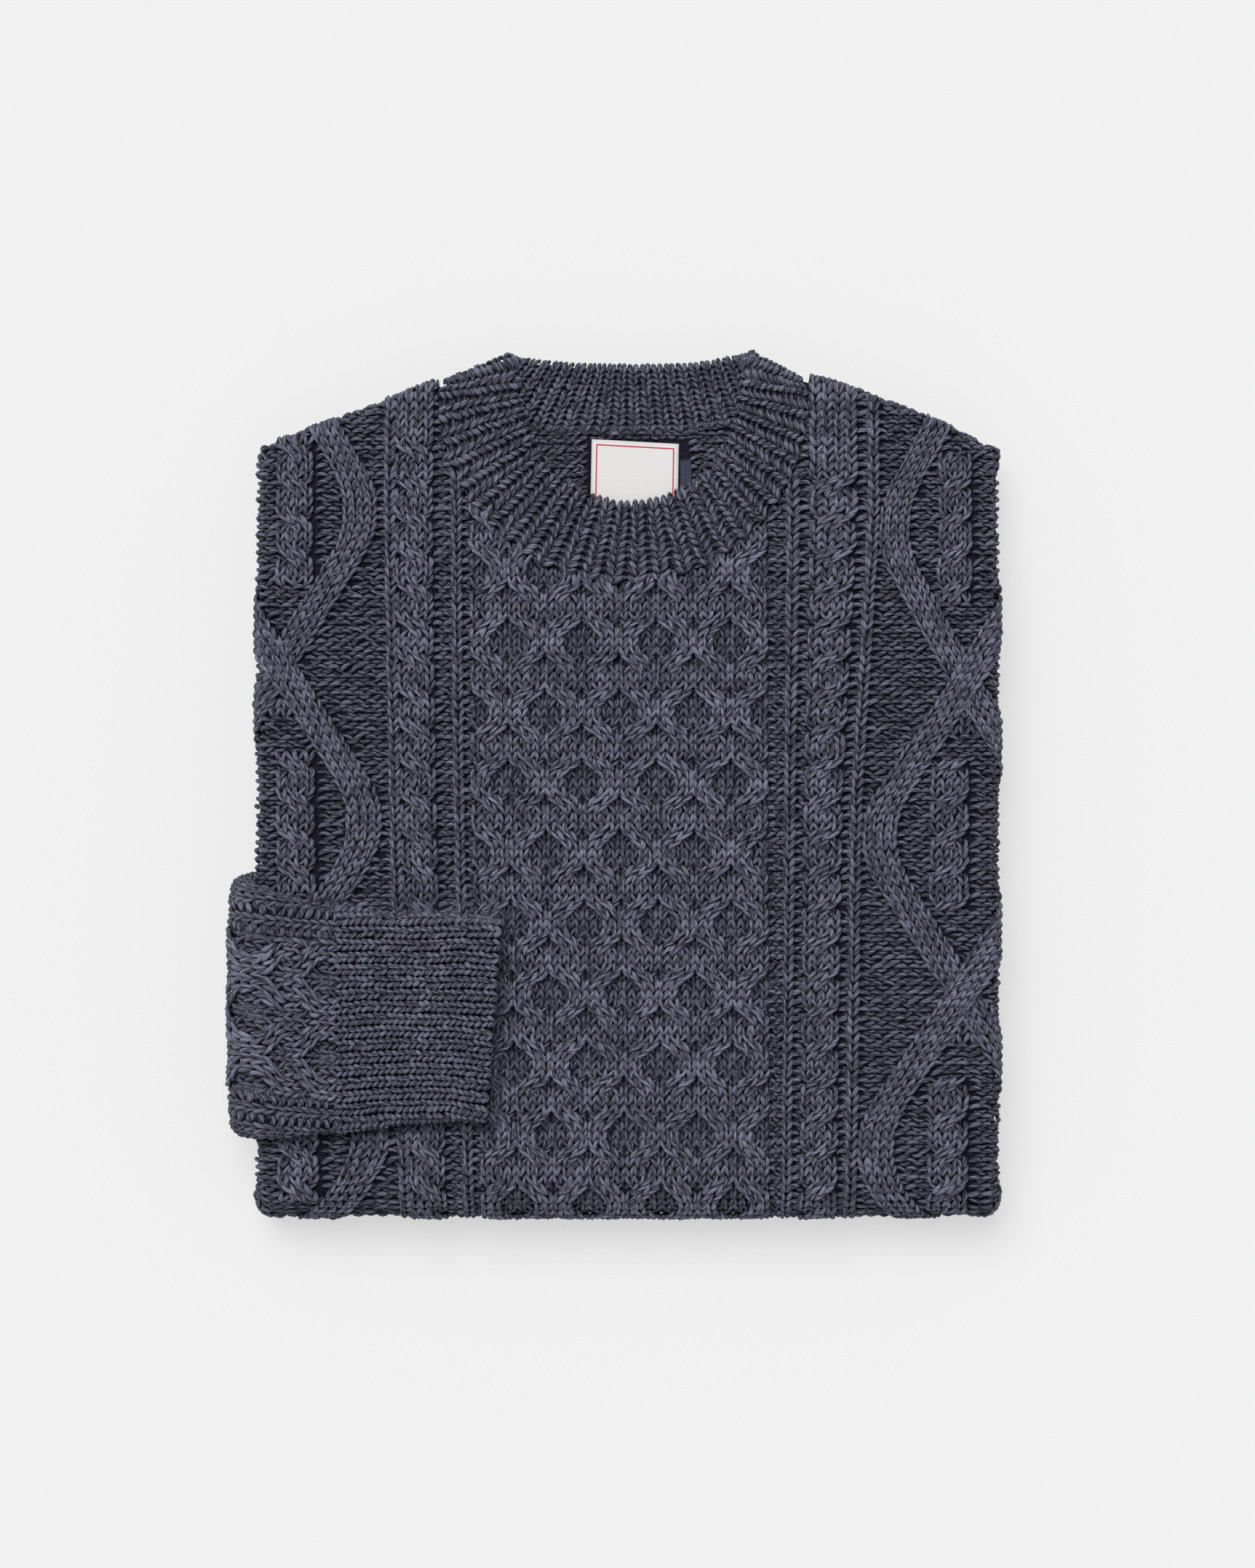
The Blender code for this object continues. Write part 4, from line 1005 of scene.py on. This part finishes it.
# Half of the gap that is left between the two rounded edges of a side
LAYER_CREASE = 0.8
# The chart of each knitted edge starts this far after the one before
LAYER_CHART = 1000.0
# The sleeve leaves the stack here: the edge behind it is plain
SLEEVE_GAP = (31.0, 179.0)
SLEEVE_GAP_EDGE = 181.0


def layer_value(y, column):
    """Read one column of the layers' table at a height."""
    return np.interp(y, LAYER_SECTIONS[:, 0], LAYER_SECTIONS[:, column])


def edge_column(side):
    """Give the number of the table's column that holds one side's edge."""
    return 2 if side < 0 else 3


def layer_edge(y, side, level, angle, rise):
    """Carry places on one rounded edge onto its form: a height, an angle round it and a rise."""
    column = edge_column(side)
    core, wide, edge_low = layer_value(y, 1), layer_value(y, column), layer_value(y, 5)
    edge_high = top_height(y) - layer_value(y, 6)
    quarter = (edge_high - edge_low) / 4
    middle = edge_low + quarter * (3 if level else 1)
    groove = np.minimum(LAYER_GROOVE, 0.5 * (wide - core))
    slope = (layer_value(y + 2.0, column) - layer_value(y - 2.0, column)) / 4.0
    tilt = np.arctan(np.clip(slope, -4.0, 0.0))
    wander = 0.7 * np.sin(y / 19.0 + 2.0 * level + side) + 0.4 * np.sin(y / 7.0 + side)
    wander = wander * np.minimum(groove / LAYER_GROOVE, 1.0)
    reach = (groove + rise) * np.cos(angle)
    x = side * (wide - groove + LAYER_CLOTH - wander + reach * np.cos(tilt))
    z = middle + (quarter - LAYER_CREASE + rise) * np.sin(angle)
    return np.stack([x, y - reach * np.sin(tilt), z], axis=-1)


def layers_pieces():
    """Make the hidden layers as one rounded piece, and the stitches on the edges that show."""
    y = np.unique(np.concatenate([LAYER_SECTIONS[:, 0], np.linspace(6.2, 419.0, 90)]))
    angles = np.radians([-90, -62, -30, 0, 30, 62, 90])
    low, edge_low = layer_value(y, 4), layer_value(y, 5)
    edge_high, high = top_height(y) - layer_value(y, 6), top_height(y) - layer_value(y, 7)
    sides = []
    for side in (1, -1):
        core = side * layer_value(y, 1)
        middle = 0.5 * core
        run = [(middle, y, low), (core, y, low), (core, y, edge_low)]
        for level in (0, 1):
            run += [layer_edge(y, side, level, angle, LAYER_CLOTH).T for angle in angles]
        run += [(core, y, edge_high), (core, y, high), (middle, y, high)]
        sides.append(run if side > 0 else run[::-1])
    loops = np.stack([np.stack(point, axis=-1) for point in sides[0] + sides[1]], axis=1)
    rows, size, _ = loops.shape
    index = np.arange(rows * size).reshape(rows, size)
    faces = [grid_faces(index, np.roll(index, -1, axis=1))]
    half = np.arange(size // 2 - 1)
    for ring, order in ((index[0], 1), (index[-1], -1)):
        cap = np.stack([ring[half], ring[size - 1 - half], ring[size - 2 - half], ring[half + 1]], -1)
        faces.append(cap[:, ::order])
    cloth = make_piece("layers_cloth", loops.reshape(-1, 3), np.concatenate(faces))

    yarn = Yarn()
    runs = []
    for side in (1, -1):
        fine = np.linspace(20.0, 417.0, 1600)
        wide = layer_value(fine, edge_column(side))
        if side < 0:
            wide = np.where((fine > SLEEVE_GAP[0]) & (fine < SLEEVE_GAP[1]), SLEEVE_GAP_EDGE, wide)
        travelled = np.concatenate([[0.0], np.cumsum(np.hypot(np.diff(fine), np.diff(wide)))])
        runs.append((fine, travelled))
        for level in (0, 1):
            base = LAYER_CHART * (2 * (side > 0) + level + 1)
            places = np.arange(1.0, travelled[-1], LAYER_STEP)
            heights = np.interp(places, travelled, fine)
            if side < 0:
                places = places[(heights < SLEEVE_GAP[0]) | (heights > SLEEVE_GAP[1])]
            for wale in (-1.0, 0.0, 1.0):
                shown = np.full(len(places), wale)
                yarn.bumps(shown, places + base, -0.1, 1.15, LAYER_STITCH, LAYER_STEP)

    def face(across, along, rise):
        """Carry the four edges' charts onto the edges."""
        across, along, rise = np.broadcast_arrays(across, along, rise)
        which = np.floor(along / LAYER_CHART).astype(int)
        placed = np.zeros(along.shape + (3,))
        for side, (fine, travelled) in zip((1, -1), runs):
            for level in (0, 1):
                here = which == 2 * (side > 0) + level + 1
                height = np.interp(along[here] % LAYER_CHART, travelled, fine)
                angle = np.clip(across[here] / LAYER_STITCH, -1.6, 1.6)
                placed[here] = layer_edge(height, side, level, angle, rise[here])
        return placed

    return cloth, yarn.mesh("layers_stitches", face)


# Label and tape

LABEL_CORNERS = ((LABEL_LEFT, 350.0), (24.8, LABEL_BOTTOM), (25.4, 383.6), (-18.0, 386.0))
TAPE_CORNERS = ((25.8, 352.0), (33.0, 354.0), (31.5, 376.5), (25.8, 375.5))
WOVEN_LIFT, WOVEN_THICKNESS = 0.9, 0.5


def woven_plate(name, corners, columns, rows):
    """Make a thin woven piece that lies on the back, a little bowed."""
    (x0, y0), (x1, y1), (x2, y2), (x3, y3) = corners
    s, t = np.meshgrid(np.linspace(0, 1, columns), np.linspace(0, 1, rows))
    x = (x0 + (x1 - x0) * s) * (1 - t) + (x3 + (x2 - x3) * s) * t
    y = (y0 + (y1 - y0) * s) * (1 - t) + (y3 + (y2 - y3) * s) * t
    bow = 0.35 * np.sin(math.pi * t) + 0.15 * np.sin(2 * math.pi * s) * t
    z = back_height(y) + WOVEN_LIFT + bow
    made = closed_shell(name, *(np.stack([x, y, z + thick], axis=-1) for thick in (WOVEN_THICKNESS, 0.0)))
    layer = made.data.uv_layers.new(name="weave")
    corner = np.zeros(len(made.data.loops), np.int32)
    made.data.loops.foreach_get("vertex_index", corner)
    flat = np.stack([np.tile(s.ravel(), 2), np.tile(t.ravel(), 2)], axis=-1)
    layer.data.foreach_set("uv", flat[corner].astype(np.float32).ravel())
    return made


# Nodes of a material or a shader group: each helper adds one to a tree and gives its output

def put(tree, value, socket):
    """Set an input to a number or a colour, or link an output to it."""
    if isinstance(value, (int, float, tuple)):
        socket.default_value = value
    else:
        tree.links.new(value, socket)


def math_node(tree, operation, *values):
    """Add a math node."""
    made = tree.nodes.new("ShaderNodeMath")
    made.operation = operation
    for value, socket in zip(values, made.inputs):
        put(tree, value, socket)
    return made.outputs[0]


def mix_colour(tree, factor, first, second, blend="MIX"):
    """Add a mix of two colours."""
    made = tree.nodes.new("ShaderNodeMix")
    made.data_type = "RGBA"
    made.blend_type = blend
    for index, value in ((0, factor), (6, first), (7, second)):
        put(tree, value, made.inputs[index])
    return made.outputs[2]


def map_range(tree, value, low, high, at_low=0.0, at_high=1.0, kind="LINEAR"):
    """Carry a value from one range onto another."""
    made = tree.nodes.new("ShaderNodeMapRange")
    made.interpolation_type = kind
    for name, number in (("From Min", low), ("From Max", high), ("To Min", at_low), ("To Max", at_high)):
        made.inputs[name].default_value = number
    put(tree, value, made.inputs["Value"])
    return made.outputs[0]


def noise(tree, place, scale, detail=2.0):
    """Add a noise texture."""
    made = tree.nodes.new("ShaderNodeTexNoise")
    made.inputs["Scale"].default_value = scale
    made.inputs["Detail"].default_value = detail
    put(tree, place, made.inputs["Vector"])
    return made.outputs[0]


def vector_parts(tree, vector):
    """Split a vector into its three values."""
    made = tree.nodes.new("ShaderNodeSeparateXYZ")
    put(tree, vector, made.inputs[0])
    return made.outputs


def join_vector(tree, *values):
    """Make a vector from up to three values."""
    made = tree.nodes.new("ShaderNodeCombineXYZ")
    for value, socket in zip(values, made.inputs):
        put(tree, value, socket)
    return made.outputs[0]


def stored_vector(tree, name):
    """Read a vector that is stored on the mesh."""
    made = tree.nodes.new("ShaderNodeAttribute")
    made.attribute_name = name
    return made.outputs["Vector"]


def object_place(tree):
    """Give the place on the object, in metres."""
    return tree.nodes.new("ShaderNodeTexCoord").outputs["Object"]


def start_group(name, inputs, outputs):
    """Start a shader group with named inputs and outputs."""
    group = bpy.data.node_groups.new(name, "ShaderNodeTree")
    for label, kind, value in inputs:
        made = group.interface.new_socket(name=label, in_out="INPUT", socket_type=kind)
        made.default_value = value
    for label, kind in outputs:
        group.interface.new_socket(name=label, in_out="OUTPUT", socket_type=kind)
    return group, group.nodes.new("NodeGroupInput").outputs, group.nodes.new("NodeGroupOutput").inputs


def start_material(name):
    """Start a material and give its tree and shader."""
    made = bpy.data.materials.new(name)
    made.use_nodes = True
    return made, made.node_tree, made.node_tree.nodes["Principled BSDF"]


def add_bump(tree, shader, height, strength, distance):
    """Raise a material's surface by a height."""
    made = tree.nodes.new("ShaderNodeBump")
    made.inputs["Strength"].default_value = strength
    made.inputs["Distance"].default_value = distance
    put(tree, height, made.inputs["Height"])
    put(tree, made.outputs[0], shader.inputs["Normal"])


# Shader groups and materials

# How the fibre streaks are stretched: along the yarn, round it, and from strand to strand
FIBRE_SCALES = (0.35, 26.0, 31.0)


def yarn_group():
    """Build the shader group for marled yarn: plies twist round each strand, light and dark, and shade is
    painted into its colour.
    """
    group, given, result = start_group("marled_yarn_with_painted_shade", (
        ("Light Ply", "NodeSocketColor", (0.2, 0.22, 0.33, 1.0)),
        ("Middle Ply", "NodeSocketColor", (0.1, 0.11, 0.16, 1.0)),
        ("Dark Ply", "NodeSocketColor", (0.04, 0.04, 0.05, 1.0)),
        ("Plies", "NodeSocketFloat", 6.0),
        ("Twist", "NodeSocketFloat", 0.055),
        ("Fuzz", "NodeSocketFloat", 0.5),
    ), (("Colour With Painted Shade", "NodeSocketColor"), ("Height", "NodeSocketFloat")))
    along, around, number = vector_parts(group, stored_vector(group, "strand"))

    # Each ply has a rounded ridge and draws its own shade, every other one lighter
    turned = math_node(group, "MULTIPLY_ADD", along, given["Twist"], around)
    turned = math_node(group, "ADD", turned, number)
    plies = math_node(group, "MULTIPLY", turned, given["Plies"])
    ridge = math_node(group, "SINE", math_node(group, "MULTIPLY", math_node(group, "FRACT", plies), math.pi))
    ply = math_node(group, "WRAP", math_node(group, "FLOOR", plies), 6.0, 0.0)
    strand = math_node(group, "FLOOR", math_node(group, "MULTIPLY", number, 9.0))
    drawn = group.nodes.new("ShaderNodeTexWhiteNoise")
    drawn.noise_dimensions = "2D"
    put(group, join_vector(group, ply, strand), drawn.inputs["Vector"])
    light = math_node(group, "MULTIPLY", drawn.outputs["Value"], 0.6)
    light = math_node(group, "MULTIPLY_ADD", math_node(group, "MODULO", ply, 2.0), 0.36, light)
    shade = group.nodes.new("ShaderNodeValToRGB")
    shade.color_ramp.elements[0].position = 0.22
    shade.color_ramp.elements[1].position = 0.55
    put(group, light, shade.inputs[0])
    base = mix_colour(group, shade.outputs[0], given["Dark Ply"], given["Light Ply"])

    # Fine fibre streaks run along the plies
    scaled = [math_node(group, "MULTIPLY", *pair) for pair in zip((along, turned, number), FIBRE_SCALES)]
    streak = map_range(group, noise(group, join_vector(group, *scaled), 1.0, 3.0), 0.38, 0.62)
    fuzz = math_node(group, "MULTIPLY", streak, given["Fuzz"])
    base = mix_colour(group, fuzz, base, given["Middle Ply"])

    # Painted shade: darker between plies, down a strand's flanks, at a stitch's tucked ends and low in the
    # knitting, and painted light on the highest stitches; the noise adds the wool's own random tone
    from_top = math_node(group, "ABSOLUTE", math_node(group, "SUBTRACT", around, 0.25))
    from_middle, lift, _ = vector_parts(group, stored_vector(group, "lie"))
    factor = math_node(group, "MULTIPLY_ADD", ridge, 0.55, 0.5)
    for value, low, high, at_low, at_high, kind in (
        (noise(group, object_place(group), 110.0), 0.3, 0.7, 0.72, 1.25, "LINEAR"),
        (from_top, 0.07, 0.3, 1.0, 0.42, "SMOOTHSTEP"),
        (from_middle, 0.45, 1.0, 1.0, 0.5, "LINEAR"),
        (lift, -0.6, 3.2, 0.66, 1.16, "LINEAR"),
    ):
        tone_and_painted_shade = map_range(group, value, low, high, at_low, at_high, kind)
        factor = math_node(group, "MULTIPLY", factor, tone_and_painted_shade)
    # The colour is multiplied by this painted shade and random tone
    coloured = mix_colour(group, 1.0, base, join_vector(group, factor, factor, factor), "MULTIPLY")
    put(group, coloured, result["Colour With Painted Shade"])
    put(group, math_node(group, "MULTIPLY_ADD", streak, 0.3, ridge), result["Height"])
    return group


def stitch_group():
    """Build the shader group for plain knit seen close: V-shaped stitches from x and y places, with painted
    shade between the legs.
    """
    group, given, result = start_group("plain_knit", (
        ("Stitch Width", "NodeSocketFloat", 0.0047),
        ("Row Height", "NodeSocketFloat", 0.0044),
    ), (("Height", "NodeSocketFloat"), ("Painted Gap Shade", "NodeSocketFloat")))
    where = object_place(group)
    x, y, z = vector_parts(group, where)
    across = math_node(group, "DIVIDE", x, given["Stitch Width"])
    along = math_node(group, "DIVIDE", math_node(group, "ADD", y, z), given["Row Height"])
    inside = math_node(group, "FRACT", across)
    from_middle = math_node(group, "ABSOLUTE", math_node(group, "SUBTRACT", inside, 0.5))
    leg = math_node(group, "FRACT", math_node(group, "MULTIPLY_ADD", from_middle, -1.6, along))
    leg = math_node(group, "SINE", math_node(group, "MULTIPLY", leg, math.pi))
    gap = math_node(group, "COSINE", math_node(group, "MULTIPLY", from_middle, 4 * math.pi))
    gap = math_node(group, "MULTIPLY_ADD", gap, -0.5, 0.5)
    height = math_node(group, "MULTIPLY", leg, gap)
    put(group, height, result["Height"])
    # Painted shade: darker where the knit is low between its legs, with noise for random tone
    put(group, math_node(group, "MULTIPLY", height, noise(group, where, 700.0)), result["Painted Gap Shade"])
    return group


def yarn_material(name, group, light, middle, dark):
    """Make the wool of the stitches."""
    made, tree, shader = start_material(name)
    plies = tree.nodes.new("ShaderNodeGroup")
    plies.node_tree = group
    plies.inputs["Light Ply"].default_value = light
    plies.inputs["Middle Ply"].default_value = middle
    plies.inputs["Dark Ply"].default_value = dark
    put(tree, plies.outputs["Colour With Painted Shade"], shader.inputs["Base Color"])
    add_bump(tree, shader, plies.outputs["Height"], 0.7, 0.0004)
    shader.inputs["Roughness"].default_value = 0.9
    shader.inputs["Specular IOR Level"].default_value = 0.2
    shader.inputs["Sheen Weight"].default_value = 0.12
    shader.inputs["Sheen Roughness"].default_value = 0.5
    shader.inputs["Sheen Tint"].default_value = (0.75, 0.8, 1.0, 1.0)
    return made


def cloth_material(name, group, colour, shade):
    """Make the knit that lies below the yarn, or that has no yarn of its own, with its second colour painted
    shade between the legs.
    """
    made, tree, shader = start_material(name)
    knit = tree.nodes.new("ShaderNodeGroup")
    knit.node_tree = group
    # The shade colour is painted shade, laid where the knit is low between its legs
    mixed = mix_colour(tree, knit.outputs["Painted Gap Shade"], shade, colour)
    put(tree, mixed, shader.inputs["Base Color"])
    add_bump(tree, shader, knit.outputs["Height"], 1.0, 0.0015)
    shader.inputs["Roughness"].default_value = 0.95
    shader.inputs["Specular IOR Level"].default_value = 0.1
    return made


def border_line(tree, places):
    """Mark a thin line round a woven piece, a little inside its edges."""
    edges = []
    for place, inset, half_width in zip(places, (0.06, 0.075), (0.008, 0.01)):
        from_edge = math_node(tree, "MINIMUM", place, math_node(tree, "SUBTRACT", 1.0, place))
        edges.append((from_edge, inset, half_width))
    lines = []
    for (from_edge, inset, half_width), (other, other_inset, other_half) in zip(edges, edges[::-1]):
        line = math_node(tree, "COMPARE", from_edge, inset, half_width)
        keep = math_node(tree, "GREATER_THAN", other, other_inset - other_half)
        lines.append(math_node(tree, "MULTIPLY", line, keep))
    return math_node(tree, "MAXIMUM", *lines)


def woven_material(name, colour, thread, border=None):
    """Make the fine weave of the label and its tape, with a plain woven line near the edge."""
    made, tree, shader = start_material(name)
    where = tree.nodes.new("ShaderNodeUVMap")
    where.uv_map = "weave"
    across, along, _ = vector_parts(tree, where.outputs[0])
    waves = []
    for place, count in ((across, thread), (along, thread * 0.8)):
        wave = math_node(tree, "MULTIPLY", place, count * math.pi)
        waves.append(math_node(tree, "ABSOLUTE", math_node(tree, "SINE", wave)))
    weave = math_node(tree, "MULTIPLY", *waves)
    dim = tuple(0.86 * c for c in colour[:3]) + (1.0,)
    shown = mix_colour(tree, weave, dim, colour)
    if border is not None:
        shown = mix_colour(tree, border_line(tree, (across, along)), shown, border)
    put(tree, shown, shader.inputs["Base Color"])
    add_bump(tree, shader, weave, 0.35, 0.0002)
    shader.inputs["Roughness"].default_value = 0.6
    shader.inputs["Sheen Weight"].default_value = 0.1
    return made


marled = yarn_group()
plain_knit = stitch_group()
SLATE_PLY = (0.217, 0.228, 0.308, 1)
GREY_PLY = (0.1, 0.098, 0.142, 1)
CHARCOAL_PLY = (0.036, 0.032, 0.052, 1)
WOOL = yarn_material("marled_wool", marled, SLATE_PLY, GREY_PLY, CHARCOAL_PLY)
# The cloth below the yarn is dark all over, painted shade in the gaps between stitches, and its second colour
# paints deeper shade between its knit's legs
SHADED_GROUND = cloth_material("wool_ground_painted_shade", plain_knit, (0.034, 0.033, 0.056, 1), (0.016, 0.015, 0.028, 1))
# The folded layers' wool, with a darker second colour painted as shade between the knit's legs
FOLDED = cloth_material("wool_layers", plain_knit, (0.16, 0.17, 0.24, 1), (0.05, 0.052, 0.07, 1))
LABEL = woven_material("label_weave", (0.8, 0.79, 0.78, 1), 60.0, (0.5, 0.03, 0.04, 1))
TAPE = woven_material("tape_weave", (0.004, 0.009, 0.042, 1), 14.0)


# Put the sweater together

def dress(piece, material):
    """Give a piece its material and material slot, and fix it to the sweater."""
    piece.data.materials.append(material)
    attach(piece, "root")


def finish_lower_layer(piece):
    """Give the front's lower layer, which carries no yarn, the plain knit of the folded layers."""
    piece.data.materials.append(FOLDED)
    centres = np.zeros(3 * len(piece.data.polygons), np.float32)
    piece.data.polygons.foreach_get("center", centres)
    centres = centres.reshape(-1, 3) / MM - SHIFT
    below = (centres[:, 2] < 2 * ROLL_RADIUS + 1) & (centres[:, 1] > FOLD_RADIUS + 4)
    piece.data.polygons.foreach_set("material_index", below.astype(np.int32))


front_cloth, front_yarn = front_pieces()
band_cloth, band_yarn = band_pieces()
sleeve_cloth, cuff_cloth, sleeve_yarn, cuff_yarn = sleeve_pieces()
back_cloth, back_yarn = back_pieces()
layers_cloth, layers_yarn = layers_pieces()
label = woven_plate("woven_label", LABEL_CORNERS, 25, 21)
tape = woven_plate("navy_tape", TAPE_CORNERS, 7, 15)

for material, slot, pieces in (
    (SHADED_GROUND, "cable_knit", [front_cloth, sleeve_cloth]),
    (SHADED_GROUND, "rib_knit", [band_cloth, cuff_cloth]),
    (SHADED_GROUND, "plain_knit", [back_cloth]),
    (FOLDED, "plain_knit", [layers_cloth]),
    (WOOL, "cable_knit", [*front_yarn, sleeve_yarn]),
    (WOOL, "rib_knit", [*band_yarn, cuff_yarn]),
    (WOOL, "plain_knit", [layers_yarn, *back_yarn]),
    (LABEL, "label_cloth", [label]),
    (TAPE, "tape_cloth", [tape]),
):
    for piece in pieces:
        dress(piece, material)
finish_lower_layer(front_cloth)

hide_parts("front_panel")
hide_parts("neckband")
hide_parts("sleeve_left")
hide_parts("cuff_left")
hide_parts("back_panel")
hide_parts("label")
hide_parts("label_tape")
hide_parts("hidden_layers")


# Floor, light and camera

FLOOR_HALF = 60000.0
FLOOR_GREY, FLOOR_GLOW = 0.3, 0.573
SKY_STRENGTH = 0.38
LAMP_PLACE = (-0.5, 1.2, 2.4)
CAMERA_HEIGHT = 2.5
SENSOR_WIDTH = 36.0
# The photo is 2156 pixels high, each of 0.36 mm, and its middle is here in the sweater's frame
FRAME_HEIGHT = 2156 * 0.36
FRAME_MIDDLE = (-0.2, 214.2)


def make_floor():
    """Lay a pale floor below the sweater."""
    corners = ((-1, -1, 0), (1, -1, 0), (1, 1, 0), (-1, 1, 0))
    floor = make_piece("floor", FLOOR_HALF * np.array(corners), np.array([[0, 1, 2, 3]]))
    made, _, shader = start_material("pale_floor")
    shader.inputs["Base Color"].default_value = (FLOOR_GREY, FLOOR_GREY, FLOOR_GREY, 1)
    shader.inputs["Roughness"].default_value = 1.0
    shader.inputs["Specular IOR Level"].default_value = 0.0
    shader.inputs["Emission Color"].default_value = (1.0, 1.0, 1.0, 1)
    shader.inputs["Emission Strength"].default_value = FLOOR_GLOW
    floor.data.materials.append(made)


def make_light():
    """Light the sweater softly from above, a little from the upper left."""
    world = bpy.data.worlds.new("studio")
    world.use_nodes = True
    sky = world.node_tree.nodes["Background"]
    sky.inputs[0].default_value = (1.0, 1.0, 1.0, 1)
    sky.inputs[1].default_value = SKY_STRENGTH
    bpy.context.scene.world = world
    lamp = bpy.data.lights.new("softbox", "SUN")
    lamp.energy = 2.3
    lamp.angle = math.radians(38.0)
    holder = bpy.data.objects.new("softbox", lamp)
    holder.location = LAMP_PLACE
    holder.rotation_mode = "QUATERNION"
    holder.rotation_quaternion = holder.location.to_track_quat("Z", "Y")
    bpy.context.scene.collection.objects.link(holder)


def make_camera():
    """Look straight down, so that a millimetre of the sweater's face is as large as in the photo."""
    lens = bpy.data.cameras.new("camera")
    lens.sensor_width = SENSOR_WIDTH
    lens.lens = SENSOR_WIDTH * (CAMERA_HEIGHT - STACK_HEIGHT * MM) / (FRAME_HEIGHT * MM)
    camera = bpy.data.objects.new("camera", lens)
    x, y = ((FRAME_MIDDLE[k] + SHIFT[k]) * MM for k in (0, 1))
    camera.location = (x, y, CAMERA_HEIGHT)
    bpy.context.scene.collection.objects.link(camera)
    bpy.context.scene.camera = camera


make_floor()
make_light()
make_camera()
bpy.context.scene.view_settings.view_transform = "Standard"
